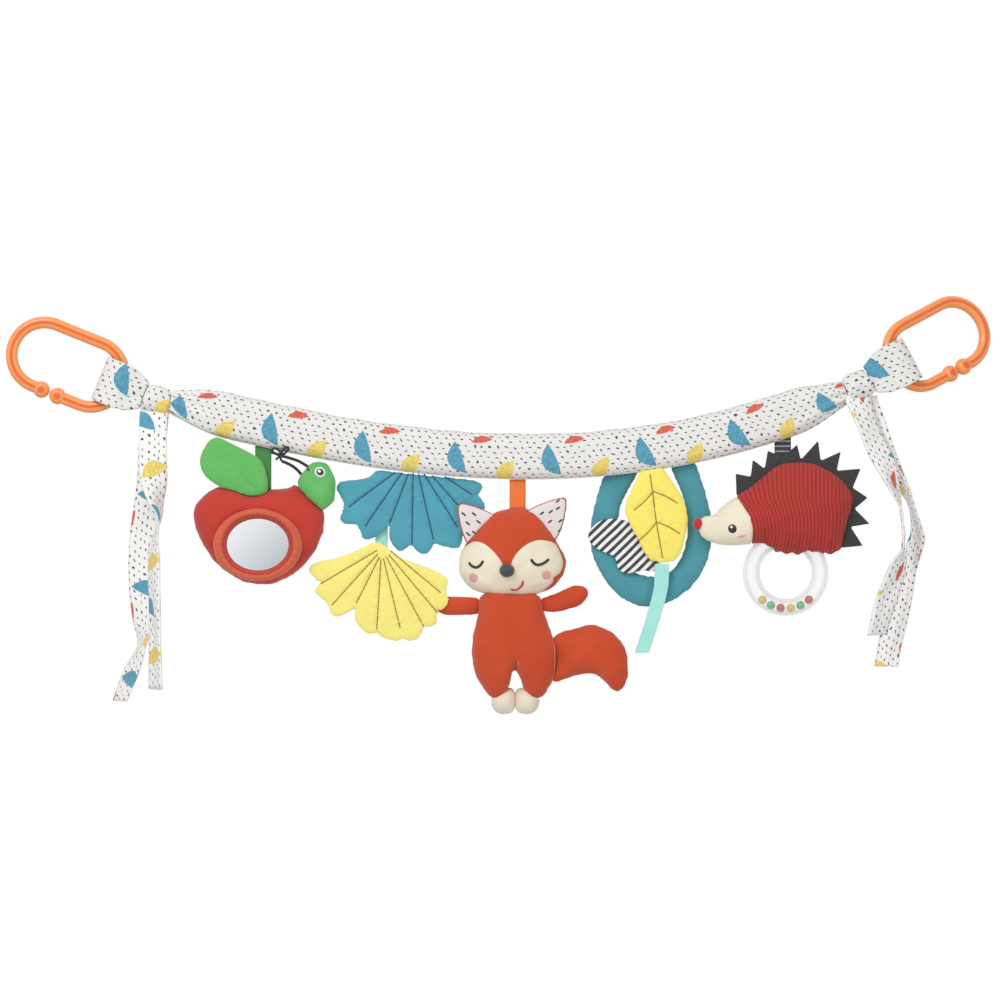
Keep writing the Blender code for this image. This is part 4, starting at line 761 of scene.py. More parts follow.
# %% Tails
TAIL_WIDTH, TAIL_THICK, TAIL_LEAN, LEAN_START = 0.0176, 0.0014, 0.011, 0.45
INTO_KNOT = ((0.0034, 0.62), (0.0022, 0.74), (0.001, 0.88))  # rise and lean of the hidden start
TAILS = {  # print offset, knot, drop, front or rear, and stations: share down, widths aside, quarter turns
    "left_tail_front": (0, LEFT_KNOT, 0.172, -1, (
        (0, -0.1, 0), (0.1, -0.12, 0.05), (0.2, -0.1, 0.15), (0.31, 0, 0.66), (0.37, 0.13, 0.98),
        (0.454, -0.05, 1.2), (0.53, -0.07, 1.28), (0.75, -0.03, 1.3), (1, 0, 1.32))),
    "left_tail_rear": (0.011, LEFT_KNOT, 0.180, 1, (
        (0, -0.1, 0), (0.085, -0.17, -0.1), (0.19, -0.25, -0.15), (0.294, -0.35, -0.15),
        (0.434, -0.53, -0.1), (0.573, -0.57, -0.1), (0.713, -0.48, -0.35), (0.8, -0.57, -0.75),
        (0.888, -0.93, -0.62), (1, -1.36, -0.6))),
    "right_tail_front": (0.023, RIGHT_KNOT, 0.147, -1, (
        (0, 0, 0.25), (0.131, 0.4, 0.4), (0.213, 0.71, 0.36), (0.294, 1.03, 0.42), (0.361, 1.21, 0.69),
        (0.427, 1.41, 0.85), (0.483, 1.52, 0.95), (0.56, 1.58, 0.96), (0.628, 1.57, 0.92),
        (0.667, 1.49, 0.74), (0.736, 1.31, 0.5), (0.804, 1.1, 0.4), (0.894, 0.87, 0.42),
        (1, 0.65, 0.45))),
    "right_tail_rear": (0.031, RIGHT_KNOT, 0.1675, 1, (
        (0, 0.24, -0.1), (0.145, 0.78, -0.35), (0.22, 1.1, -0.45), (0.314, 1.6, -0.75),
        (0.375, 1.92, -0.87), (0.435, 2.07, -0.88), (0.491, 2.17, -0.8), (0.521, 2.15, -0.65),
        (0.585, 1.94, -0.6), (0.657, 1.71, -0.45), (0.762, 1.53, -0.4), (0.897, 1.24, -0.4),
        (1, 1.06, -0.42))),
}


def strip(name, stations, width, thick, offset=0.0, wave=0.0, across=10):
    """Closed strip of cloth with hems. A station is a place and a turn about the vertical."""
    mesh = bmesh.new()
    chart = mesh.loops.layers.uv.new("cloth")
    rows, travel = [], [offset]
    for i, (place, turn) in enumerate(stations):
        wide = Vector((math.cos(turn), math.sin(turn), 0))
        before, after = stations[max(i - 1, 0)][0], stations[min(i + 1, len(stations) - 1)][0]
        heading = (Vector(after) - Vector(before)).normalized()
        through = heading.cross(wide).normalized()
        row = []
        for side in (-1, 1):
            for j in range(across + 1):
                a = (j / across - 0.5) * side * -1  # share of the width, from edge to edge and back
                curl = math.sin(i * 0.37 + a * 4.0) + 0.6 * math.sin(i * 0.13 + a * 9.0)
                rounded = 0.62 + 0.38 * min(1, (0.5 - abs(a)) * 14)
                hem = 1.18 if 0.34 < abs(a) < 0.47 else 1.0
                half = thick / 2 * rounded * hem
                spot = Vector(place) + wide * a * width + through * (wave * curl + side * half)
                row.append(mesh.verts.new(spot))
        if rows:
            travel.append(travel[-1] + (Vector(place) - Vector(stations[i - 1][0])).length)
        rows.append(row)
    bridged(mesh, rows, chart=chart,
            spot=lambda a, b: (travel[a], offset + width * (b % (across + 1)) / across))
    return new_piece(name, mesh)


def tail(node, offset, knot, length, side, shares):
    """Strip that comes out of a knot, leans to the front or the rear and twists as it hangs."""
    top = knot[1] - KNOT_HEIGHT / 2 - GAP
    _, aside, turn = shares[0]
    stations = []
    for rise, share in INTO_KNOT:
        y = side * TAIL_LEAN * LEAN_START * share
        stations.append(((knot[0] + aside * TAIL_WIDTH * 0.9, y, top + rise), turn * math.pi / 2))
    for down, aside, turn in smooth_line(shares, 7):
        y = side * TAIL_LEAN * min(1, LEAN_START + down)
        stations.append(((knot[0] + aside * TAIL_WIDTH, y, top - down * length), turn * math.pi / 2))
    piece = strip(node + "_cloth", stations, TAIL_WIDTH, TAIL_THICK, offset, wave=0.00035)
    dressed(piece, TAIL_PRINT_PAINTED_LIGHT, node, node, slot="garland_print")


for node, facts in TAILS.items():
    tail(node, *facts)

# %% [markdown]
# ## Snap links
# Each link is one injection moulding: a round bar bent to a stadium, with a shallow groove along its
# front and back, and a snap of two balls with a dimple each. The skin follows the bar's centre line at
# the measured size. The mark "groove" paints the groove and the dimples darker: painted shade.

# %% Snap links
LINK_LONG, LINK_WIDE, LINK_BAR, LINK_BALL, SNAP_SHIFT = 0.0805, 0.049, 0.0076, 0.0106, 0.004
LINK_BEND = (LINK_WIDE - LINK_BAR) / 2
LOOP_HALF, TWIST = 0.0145, math.radians(25)  # half the width of a loop; turn of the right link
LOOP_BOW = LINK_BEND - math.sqrt(LINK_BEND ** 2 - LOOP_HALF ** 2)
BAR_SIDES, GROOVE_DEPTH, DIMPLE_DEPTH = 24, 0.0006, 0.0007
ORANGE = Finish("orange_plastic_look", 0.32, coat=0.25)
cloud = ORANGE.noise(60, 3)
# Painted shade: the groove and the dimples get a deeper orange than the rest of the moulding.
painted_recess_shade = ORANGE.attribute("groove").above(0.45, 0.35)
face_tint = ORANGE.mixed(cloud, linear(250, 164, 92), linear(246, 150, 78))
ORANGE.paint(ORANGE.mixed(painted_recess_shade, face_tint, linear(232, 98, 40)), cloud * 0.12 + 0.26)
ORANGE.bump(ORANGE.noise(500, 2), 0.00008, 0.3)


def node_finish(node, finish):
    """Gives a CAD node that keeps its shape a better material."""
    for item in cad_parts[node].material_slots:
        item.material = finish.material


def bar_line(steps=30):
    """Centre line of the bar in the link's own plane, from ball to ball."""
    half, ball = (LINK_LONG - LINK_WIDE) / 2, LINK_BALL / 2 + GAP / 2
    start, end = SNAP_SHIFT + ball, SNAP_SHIFT - ball
    bend = [(LINK_BEND * math.sin(math.pi * k / steps), -LINK_BEND * math.cos(math.pi * k / steps))
            for k in range(steps + 1)]
    runs = [(start + (half - SNAP_SHIFT - ball) * k / 6, -LINK_BEND) for k in range(6)]
    runs += [(half + a, b) for a, b in bend]
    runs += [(half - 2 * half * k / 14, LINK_BEND) for k in range(1, 14)]
    runs += [(-half - a, -b) for a, b in bend]
    return runs + [(-half + (end + half) * k / 6, -LINK_BEND) for k in range(1, 7)]


def link_skin(body, slope, sign, reach, centre, twist):
    """Round bar with a groove and two balls, in the plane that the link has on the real chain."""
    out = Vector((sign * math.cos(slope), 0, math.sin(slope)))
    up = (Vector((0, 0, 1)) - out * out.z).normalized()
    if twist:
        out = out * math.cos(twist) + up.cross(out) * math.sin(twist)
    through = out.cross(up) * (1 if out.cross(up).y > 0 else -1)
    line = bar_line()
    places = [centre + out * (reach + a) + up * b for a, b in line]
    mesh = bmesh.new()
    depth, rows = {}, []
    for i, place in enumerate(places):
        heading = (places[min(i + 1, len(places) - 1)] - places[max(i - 1, 0)]).normalized()
        side = heading.cross(through)
        rows.append([])
        for k in range(BAR_SIDES):
            turn = 2 * math.pi * k / BAR_SIDES
            groove = math.exp(-((abs(math.sin(turn)) - 1) / 0.04) ** 2)
            aside = side * math.cos(turn) + through * math.sin(turn)
            vert = mesh.verts.new(place + aside * (LINK_BAR / 2 - GROOVE_DEPTH * groove))
            depth[vert] = groove
            rows[-1].append(vert)
    bridged(mesh, rows)
    for place in (places[0], places[-1]):
        ball = bmesh.ops.create_uvsphere(mesh, u_segments=32, v_segments=20, radius=LINK_BALL / 2)
        for vert in ball["verts"]:
            aside = vert.co.normalized()
            dimple = math.exp(-((1 - abs(aside.z)) / 0.13) ** 2)
            spot = aside * (LINK_BALL / 2 - DIMPLE_DEPTH * dimple)
            vert.co = place + out * spot.x + up * spot.y + through * spot.z
            depth[vert] = dimple
    values = [depth[v] / 1000 for v in mesh.verts]  # a share, which mark() would take for metres
    piece = new_piece(body + "_skin", mesh)
    mark(piece, "groove", values)
    return dressed(piece, ORANGE, body, body, slot="orange_plastic")


LINK_REACH = LINK_LONG / 2 - LINK_BAR / 2 - LOOP_BOW / 2
link_skin("left_link", LEFT_SLOPE, -1, LINK_REACH, Vector((0, 0, 0)), 0)
link_skin("right_link", RIGHT_SLOPE, 1, LINK_REACH, Vector((RIGHT_EYE[0], 0, RIGHT_EYE[1])), TWIST)
print("link faces", len(pieces["left_link_skin"].data.polygons))

# %% [markdown]
# ## Velour and ribbon
# Most toys are cut from velour, a knit with a short dense pile. Pile scatters light at grazing angles,
# which is what sheen does, and it lies in slightly different directions, which makes soft clouds of
# lighter and darker colour. The finest noise gives the nap a little bump. Ribbons are woven, so they
# have fine ribs and a little gloss instead.

# %% Velour and ribbon
PILE_SHEEN = 0.45  # roughness of the sheen on pile
RIB = 0.45  # half the distance between two ribs of a ribbon, in millimetres


def nap(tree, colour, contrast=0.15):
    """Clouded pile colour; a colour may be a value triple or a field."""
    cloud = tree.noise(58, 4)
    fibre = tree.noise(1500, 2)
    blend = cloud * 0.75 + fibre * 0.25
    if isinstance(colour, Field):
        tint = tree.mixed(blend, (1 - 1.5 * contrast,) * 3, (1 + contrast,) * 3)
        tree.paint(tree.mixed(1, colour, tint, "MULTIPLY"))
    else:
        tree.paint(tree.mixed(blend, shade(colour, 1 - 1.6 * contrast), shade(colour, 1 + contrast)))
    tree.bump(fibre * 0.55 + cloud * 0.45, 0.0005, 0.45)
    return tree


def velour(name, colour, rim=None, rim_width=0.5, contrast=0.15):
    """Pile cloth. A rim colour shows where the mark "rim", in millimetres, is small."""
    tree = Finish(name, 0.92, sheen=0.3)
    tree.shader.inputs["Sheen Roughness"].default_value = PILE_SHEEN
    if rim:
        edge = 1 - tree.attribute("rim").above(rim_width, 0.2)
        colour = tree.mixed(edge, colour, rim)
    return nap(tree, colour, contrast)


def ribbon(name, colour, stripes=None):
    """Woven ribbon. Stripes are a colour and its levels in millimetres."""
    tree = Finish(name, 0.5, sheen=0.1)
    level = tree.axes(tree.place)[2] * 1000
    paint = tree.mixed(tree.noise(120, 2), shade(colour, 0.88), shade(colour, 1.08))
    if stripes:
        line, stripe_levels = stripes
        for stripe in stripe_levels:
            near = 1 - tree.math("ABSOLUTE", level - stripe).above(0.35, 0.12)
            paint = tree.mixed(near, paint, line)
    tree.paint(paint)
    tree.bump(tree.math("PINGPONG", level, RIB), 0.0002, 0.35)
    return tree


def plain(name, colour, rough=0.7, sheen=0.0, coat=0.0, scale=700, depth=0.00015):
    """Small parts: thread, embroidery and moulded bits with a fine grain."""
    tree = Finish(name, rough, sheen=sheen, coat=coat)
    grain = tree.noise(scale, 2)
    tree.paint(tree.mixed(grain, shade(colour, 0.86), shade(colour, 1.06)))
    tree.bump(grain, depth, 0.35)
    return tree


BLACK_THREAD = plain("black_thread", linear(34, 34, 36), 0.65, sheen=0.2)
NAVY_THREAD = plain("navy_thread", linear(30, 72, 118), 0.65, sheen=0.2)
BROWN_THREAD = plain("brown_thread", linear(160, 118, 56), 0.65, sheen=0.2)
RED_THREAD = plain("red_thread", linear(188, 40, 44), 0.65, sheen=0.2)
BLUSH = plain("blush_print", linear(238, 172, 160), 0.85, sheen=0.2)
LILAC = plain("lilac_print", linear(190, 170, 200), 0.85, sheen=0.2)
print("cloth finishes ready")

# %% [markdown]
# ## Small sewn details
# Embroidery, printed dashes and domed eyes sit on a finished skin. Each helper finds the skin below a
# point of the front view and builds its form there, so a detail never floats and never sinks.

# %% Small sewn details
def threads(name, paths, radius, sides=6, flat=0.6, taper=0.6, closed=False):
    """Flattened threads along paths of places, in one piece. A closed one runs into its own start."""
    mesh = bmesh.new()
    turns = [2 * math.pi * k / sides for k in range(sides)]
    for path in paths:
        places = [Vector(p) for p in path]
        last = len(places) - 1
        rows = []
        for i, place in enumerate(places):
            before, after = (i - 1, (i + 1) % (last + 1)) if closed else (max(i - 1, 0), min(i + 1, last))
            heading = (places[after] - places[before]).normalized()
            side = heading.cross(Vector((0, 1, 0)))
            side = side.normalized() if side.length > 0.001 else Vector((1, 0, 0))
            up = side.cross(heading) * flat
            size = radius if closed or 0 < i < last else radius * taper
            spots = [place + (side * math.cos(t) + up * math.sin(t)) * size for t in turns]
            rows.append([mesh.verts.new(spot) for spot in spots])
        bridged(mesh, rows + rows[:1] if closed else rows, capped=not closed)
    return new_piece(name, mesh)


def ruled(start, end, bow=0.0, step=0.0011):
    """Evenly spaced points from start to end in the front view, bowed sideways by a share."""
    a, b = Vector((*start, 0)), Vector((*end, 0))
    across = Vector((-(b - a).y, (b - a).x, 0)) * bow
    count = max(3, int((b - a).length / step))
    spots = (a.lerp(b, i / count) + across * math.sin(math.pi * i / count) for i in range(count + 1))
    return [tuple(spot[:2]) for spot in spots]


def dome(name, piece, centre, radius, height, sink=0.0002, sides=28, rings=5, squeeze=1.0):
    """Flattened dome that stands on the piece at a point of the front view."""
    hit, normal, _, _ = skin_tree(piece).ray_cast(Vector((centre[0], -1, centre[1])), Vector((0, 1, 0)))
    turn = Vector((0, 0, 1)).rotation_difference(normal)
    mesh = bmesh.new()
    rows = []
    for i in range(rings):
        tilt = math.pi / 2 * i / rings
        wide, level = radius * math.cos(tilt), height * math.sin(tilt) - sink
        rows.append([])
        for k in range(sides):
            around = 2 * math.pi * k / sides
            spot = Vector((wide * math.cos(around), wide * squeeze * math.sin(around), level))
            rows[-1].append(mesh.verts.new(hit + turn @ spot))
    bridged(mesh, rows)
    return new_piece(name, mesh)


def embroidered(name, piece, lines, radius, finish, body, lift=0.0001):
    """Threads along lines of the front view, laid on a finished skin."""
    rows = [laid(piece, line, lift) for line in lines]
    return rides(threads(name, [row for row in rows if len(row) > 2], radius), finish, body)


def strap(name, node, width, finish, body, slot, thick=0.0012, rise=0.0004):
    """Woven strap between the garland and a toy, a little into both."""
    low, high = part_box(node)
    x, top, bottom = (low[0] + high[0]) / 2, high[2] + rise, low[2] - GAP
    stations = [((x, 0.0, top + (bottom - top) * i / 12), 0.0) for i in range(13)]
    piece = strip(name, stations, width, thick)
    return dressed(piece, finish, body, node, slot=slot)


print("detail helpers ready")

# %% [markdown]
# ## Skins of the stuffed toys
# The cushions are skinned first and blown up together, so that the cloth simulation runs once.

# %% Skins of the stuffed toys
STUFFED = {}  # how far each piece may swell, then its finish, body, node, slot and filling


def stuffed(name, node, finish, slot, voxel=0.0026, cap=0.0022, fill=0.8, grow=0.0, body="fox"):
    """Skin that waits for the filling. The cap is the most that a point of it may move."""
    skin(name, [node], voxel, grow=grow)
    STUFFED[name] = (cap, finish, body, node, slot, fill)


APPLE_RED = velour("apple_velour", linear(200, 58, 46), contrast=0.16)
PIPING_GREEN = linear(170, 222, 150)
WORM_GREEN = velour("worm_velour", linear(104, 192, 104), PIPING_GREEN, 0.9)
FOX_ORANGE = velour("fox_velour", linear(206, 74, 34), contrast=0.16)
CREAM = velour("cream_velour_look", linear(243, 233, 208), contrast=0.06)
stuffed("apple_cushion", "apple_body", APPLE_RED, "apple_red", body="apple")
stuffed("worm_cushion", "worm_head", WORM_GREEN, "leaf_green", 0.0015, 0.0008, fill=0.7, body="apple")
stuffed("fox_head_cushion", "fox_head", CREAM, "fox_orange", 0.0023, 0.0016, grow=0.0003)
stuffed("fox_body_cushion", "fox_body", FOX_ORANGE, "fox_orange", 0.0022, 0.0014, grow=0.0005)
stuffed("fox_tail_cushion", "fox_tail", FOX_ORANGE, "fox_orange", 0.0019, 0.0012, grow=0.0005,
        body="fox_tail")
for side in ("left", "right"):
    arm = "fox_arm_" + side
    stuffed("fox_%s_arm_cushion" % side, arm, FOX_ORANGE, "fox_orange", 0.0014, 0.0005, grow=0.0003, body=arm)
print("skins", {name: len(pieces[name].data.vertices) for name in STUFFED})

# %% Blow up and dress
def reach(piece, end, amount, length=0.009):
    """Stretches the sewn end of a limb sideways, so that it meets the body."""
    places = points_of(piece)
    share = np.clip(1 - np.abs(places[:, 0] - end) / length, 0, 1)
    places[:, 0] += amount * share
    move(piece, places)


def rounder(piece, centre, amount, wide):
    """Swells a corner of a cushion a little more, in the plane of the toy only."""
    places, outward = points_of(piece), normals_of(piece) * (1, 0, 1)
    away = np.linalg.norm(places[:, [0, 2]] - np.array(centre), axis=1)
    move(piece, places + outward * (amount * np.exp(-(away / wide) ** 2))[:, None])


def rim_marked(piece):
    """Stores how far each point lies in front of or behind the seam round a cushion."""
    depth = points_of(piece)[:, 1]
    mark(piece, "rim", np.abs(depth - (depth.min() + depth.max()) / 2))
    return piece


swell({pieces[name]: facts[0] for name, facts in STUFFED.items()})
# Where the sewn end of each limb lies, and how far it goes into the body, both along the toy.
LIMB_ENDS = {"left_arm": (0.2278, 0.0017), "right_arm": (0.2674, -0.0021), "tail": (0.2756, -0.0028)}
for limb, (end, amount) in LIMB_ENDS.items():
    reach(pieces["fox_%s_cushion" % limb], end, amount)
rounder(pieces["fox_tail_cushion"], at(617, 687), 0.0014, 0.0055)
apple = pieces["apple_cushion"]
for px, py, amount, wide in ((222, 566, 0.0021, 0.011), (246, 582, 0.0021, 0.011), (269, 493, 0.0019, 0.006)):
    rounder(apple, at(px, py), amount, wide)
MIRROR_X, MIRROR_Z = 0.0892, -0.1007  # middle of the glass
MIRROR_WIDE, MIRROR_HIGH = 0.0199, 0.0167  # half its width and half its height
MIRROR_EDGE, MIRROR_BED = 0.003, -0.0088  # the cushion stays behind the glass up to this far past its rim
places = points_of(apple)
x, y, z = places.T
glass = ((x - MIRROR_X) / (MIRROR_WIDE + MIRROR_EDGE)) ** 2
glass += ((z - MIRROR_Z) / (MIRROR_HIGH + MIRROR_EDGE)) ** 2
places[:, 1] = np.where((glass < 1) & (y < 0), np.maximum(y, MIRROR_BED), y)
move(apple, places)
DENT = 0.00016  # small uneven places of the filling
for name, (_, finish, body, node, slot, fill) in STUFFED.items():
    piece = pieces[name]
    places = points_of(piece)
    x, y, z = places.T
    dents = np.sin(430 * x + 2.1 * np.sin(260 * z) + 90 * y)
    dents += np.sin(510 * z + 1.7 * np.sin(330 * x + 1) - 70 * y)
    move(piece, places + normals_of(piece) * (DENT * dents)[:, None])
    rim_marked(finer(piece))
    dressed(piece, finish, body, node, slot=slot, fill=fill)
print("stuffed pieces", list(STUFFED))

# %% [markdown]
# ## Apple
# A red velour cushion holds a round play mirror in a stitched frame. A green leaf is sewn on by its
# stem end, and a worm looks out at the right, held by a loop of black elastic.

# %% Thin cushions
GROOVE_WIDE, SWIRL, SWIRL_REACH = 0.0014, 0.0002, 0.004  # cloth drawn in beside a row of stitches
STITCH_LIFT = 0.00012


def flat_cushion(name, node, finish, body, slot, lines=(), groove=0.0007):
    """Fine skin of a thin cushion. Lines press grooves into both of its sides."""
    piece = rim_marked(finer(skin(name, [node], 0.0009, 5, 0.0005)))
    if lines:
        places, outward = points_of(piece), normals_of(piece)
        near = np.min([line_distance(places, line) for line in lines], axis=0)
        press = groove * np.exp(-(near / GROOVE_WIDE) ** 2) * np.abs(outward[:, 1])
        swirl = SWIRL * np.sin(places[:, 0] * 700 + 3 * np.sin(places[:, 2] * 400))
        move(piece, places - outward * (press + swirl * (near < SWIRL_REACH))[:, None])
    return dressed(piece, finish, body, node, slot=slot)


def sewn(name, piece, lines, finish, body, **sizes):
    """Stitch rows along lines of the front view, laid on both sides of a finished skin."""
    rows = [laid(piece, line, STITCH_LIFT, back) for back in (False, True) for line in lines]
    made = stitches(name, [row for row in rows if len(row) > 2], finish, **sizes)
    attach(made, body)
    return made


def ellipse(x, z, wide, high, count=72):
    """Closed ring of points in the front view."""
    turns = [2 * math.pi * k / count for k in range(count)]
    return [(x + wide * math.cos(t), z + high * math.sin(t)) for t in turns]


PUCKERS = 34  # small folds round the frame, where its cloth is drawn in
BEZEL = Finish("bezel_velour", 0.9, sheen=0.3)
inner_rim = 1 - BEZEL.attribute("inner").above(2.3, 0.25)
nap(BEZEL, BEZEL.mixed(inner_rim, linear(213, 98, 66), linear(190, 56, 40)))
bezel = finer(skin("bezel_cushion", ["mirror_bezel"], 0.0011, 4, 0.0003))
places, outward = points_of(bezel), normals_of(bezel)
to_glass = line_distance(places, ellipse(MIRROR_X, MIRROR_Z, MIRROR_WIDE, MIRROR_HIGH), True)
mark(bezel, "inner", to_glass)
turn = np.arctan2(places[:, 2] - MIRROR_Z, places[:, 0] - MIRROR_X)
pucker = 0.00022 * np.sin(turn * PUCKERS) * np.abs(outward[:, 1])
seam = 0.0004 * np.exp(-((to_glass - 0.0024) / 0.0007) ** 2)
move(bezel, places - outward * (seam + pucker)[:, None])
dressed(bezel, BEZEL, "apple", "mirror_bezel", slot="bezel_coral")
print("bezel faces", len(bezel.data.polygons))

# %% Mirror, leaf and strap
PIPING_Y = -0.0116  # in front of the glass
MIRROR = Finish("mirror_film", 0.14, metallic=1.0)
x, _, z = MIRROR.axes(MIRROR.place)
# Painted reflection: a ramp from light to darker grey across the glass stands in for what it reflects; soft
# noise adds an uneven film.
haze_and_painted_reflection = MIRROR.noise(40, 2) * 0.25 + (x - z - 0.176) * 22
MIRROR.paint(MIRROR.mixed(haze_and_painted_reflection, (0.82, 0.84, 0.86), (0.52, 0.54, 0.57)), MIRROR.noise(60, 2) * 0.1 + 0.1)
MIRROR.bump(MIRROR.noise(26, 1), 0.0004, 0.15)
node_finish("mirror_plate", MIRROR)
rim = [(x, PIPING_Y, z) for x, z in ellipse(MIRROR_X, MIRROR_Z, MIRROR_WIDE, MIRROR_HIGH, 96)]
edge = threads("mirror_piping", [rim], 0.0005, sides=8, flat=1.0, closed=True)
rides(edge, plain("piping_red", linear(176, 48, 36), 0.8, sheen=0.2), "apple")

LEAF_GREEN = velour("leaf_velour", linear(102, 189, 98), linear(204, 214, 128), 0.85)
fold = smooth_line(outline([(252, 487), (238, 470), (222, 455), (208, 446)]))
leaf = flat_cushion("apple_leaf_cushion", "apple_leaf", LEAF_GREEN, "apple_leaf", "leaf_green", [fold],
                    0.0004)
GREEN_RIBBON = ribbon("strap_green_ribbon", linear(60, 140, 66))
strap("apple_strap_ribbon", "apple_strap", 0.0102, GREEN_RIBBON, "apple", "strap_green")
print("leaf faces", len(leaf.data.polygons))

# %% Worm
WHITE_PAD = plain("white_embroidery", linear(244, 244, 242), 0.6, sheen=0.3, scale=1600)
BLACK_PAD = plain("black_embroidery", linear(30, 30, 32), 0.6, sheen=0.3, scale=1600)
worm = pieces["worm_cushion"]
eye = at(320.7, 472)
white = rides(dome("worm_eye_white", worm, eye, 0.0035, 0.0006), WHITE_PAD, "apple")
black = rides(dome("worm_eye_black", white, eye, 0.0024, 0.0004, sink=0.0001), BLACK_PAD, "apple")
rides(dome("worm_eye_light", black, at(320.0, 471.2), 0.0011, 0.0003, sink=0.0001), WHITE_PAD, "apple")
nostril = ruled(at(305.4, 467.2), at(309.6, 470.8), 0.1)
embroidered("worm_nostril", worm, [nostril], 0.0009, BLACK_PAD, "apple")

ELASTIC = plain("black_elastic", linear(28, 28, 30), 0.6, sheen=0.25, scale=900)
# Way of the elastic: from the strap across the front, round behind the worm and back to the bow.
ROUTE = [(0.09098, 0.00247, -0.04181), (0.09449, 0.00247, -0.04227), (0.09735, 0.00228, -0.04272),
         (0.09937, 0.00097, -0.04324), (0.1008, -0.00163, -0.04383), (0.10346, -0.00462, -0.04474),
         (0.10678, -0.00598, -0.04571), (0.111, -0.00481, -0.04695), (0.11497, -0.00201, -0.04844),
         (0.11828, 0.00299, -0.05046), (0.12147, 0.008, -0.05234), (0.1255, 0.00982, -0.05436),
         (0.12816, 0.01021, -0.05787), (0.1268, 0.01001, -0.06183), (0.12296, 0.00923, -0.06261),
         (0.11919, 0.00741, -0.06027), (0.1162, 0.00358, -0.05683), (0.1138, -0.00039, -0.05397),
         (0.11081, -0.00403, -0.05143), (0.10697, -0.00559, -0.04942), (0.10398, -0.00598, -0.04825)]


def smooth_path(points, steps):
    """Points on a smooth curve through places."""
    flat = smooth_line([(x, z) for x, _, z in points], steps)
    deep = smooth_line([(y, y) for _, y, _ in points], steps)
    return [(x, y, z) for (x, z), (y, _) in zip(flat, deep)]


route = smooth_path(ROUTE, 4)
elastic = threads("elastic_loop", [route], 0.00095, sides=12, flat=1.0, taper=0.7)
dressed(elastic, ELASTIC, "apple", "worm_cord", slot="elastic_black")
BOW = [[(282.4, 453.6), (277.6, 449.4), (273.4, 448.6), (273.6, 452.0), (278.0, 454.6), (281.8, 455.4)],
       [(281.6, 454.4), (284.0, 449.2), (287.6, 446.6), (289.0, 449.2), (285.6, 453.2), (282.4, 456.0)],
       [(281.4, 455.4), (278.4, 458.0), (276.2, 459.8)],
       [(282.4, 461.4), (281.2, 458.6), (281.8, 455.4)],
       [(279.6, 455.2), (281.0, 452.6), (283.4, 453.6), (283.2, 456.4), (280.4, 456.6)]]
bow_rows = [[(x, -0.0066 - 0.0005 * i, z) for x, z in smooth_line(outline(row), 5)]
            for i, row in enumerate(BOW)]
bow = rides(threads("elastic_bow", bow_rows, 0.00075, sides=8, flat=0.9, taper=0.8), ELASTIC, "apple")
run = sum((Vector(a) - Vector(b)).length for a, b in zip(route, route[1:]))
print("elastic is", round(run * 1000, 1), "mm long; stitched parts so far", len(pieces))

# %% [markdown]
# ## Ginkgo leaves
# Two crackle leaves hang beside each other, joined by a short ribbon. Each is two layers of velour with
# a scalloped edge and rows of stitches that fan out from the stem. A row pulls the layers together, so
# the skin gets a groove along every row before the threads are laid on it.

# %% Ginkgo leaves
BLUE_FAN = [  # each row of stitches from its start near the stem to its end at the edge
    ((398, 470), (350, 506)), ((403, 471), (366, 525)), ((409, 472), (390, 522)), ((413, 473), (412, 543)),
    ((418, 472), (433, 538)), ((422, 471), (457, 526)), ((427, 470), (457, 504)), ((430, 467), (471, 494))]
YELLOW_FAN = [
    ((376, 551), (322, 583)), ((377, 555), (333, 604)), ((379, 558), (357, 602)), ((381, 560), (377, 628)),
    ((384, 560), (400, 627)), ((387, 558), (423, 625)), ((390, 556), (437, 612)), ((392, 552), (440, 592))]
BLUE = velour("blue_leaf_velour", linear(82, 164, 184), linear(116, 188, 202), 0.6, contrast=0.17)
YELLOW = velour("yellow_leaf_velour", linear(252, 239, 132), linear(253, 243, 170), 0.6, contrast=0.06)


def fan(rays):
    """Straight lines of points for the rows of a leaf."""
    return [ruled(at(*start), at(*end)) for start, end in rays]


blue_rows, yellow_rows = fan(BLUE_FAN), fan(YELLOW_FAN)
blue = flat_cushion("blue_leaf_cushion", "blue_leaf", BLUE, "blue_leaf", "blue_velour", blue_rows)
places = points_of(blue)
places[:, 2] -= 0.0009 * np.clip((places[:, 2] + 0.062) / 0.006, 0, 1)  # its top stays below the band
move(blue, places)
yellow = flat_cushion("yellow_leaf_cushion", "yellow_ginkgo_leaf", YELLOW, "yellow_ginkgo", "yellow_velour",
                      yellow_rows)


def notched(piece, rows, depth=0.0017, wide=0.0021):
    """Pulls the rim in where a row of stitches runs out, which leaves the lobes between the rows."""
    places, outward = points_of(piece), normals_of(piece)
    for row in rows:
        end = np.array(row[-1])
        run = end - np.array(row[0])
        run /= np.linalg.norm(run)
        away = places[:, [0, 2]] - end
        ahead, aside = away @ run, away @ np.array([-run[1], run[0]])
        faces_out = np.clip(outward[:, [0, 2]] @ run * 1.6, 0, 1)
        pull = depth * np.exp(-(aside / wide) ** 2) * faces_out * ((ahead > -0.002) & (ahead < 0.014))
        places[:, 0] -= run[0] * pull
        places[:, 2] -= run[1] * pull
    move(piece, places)


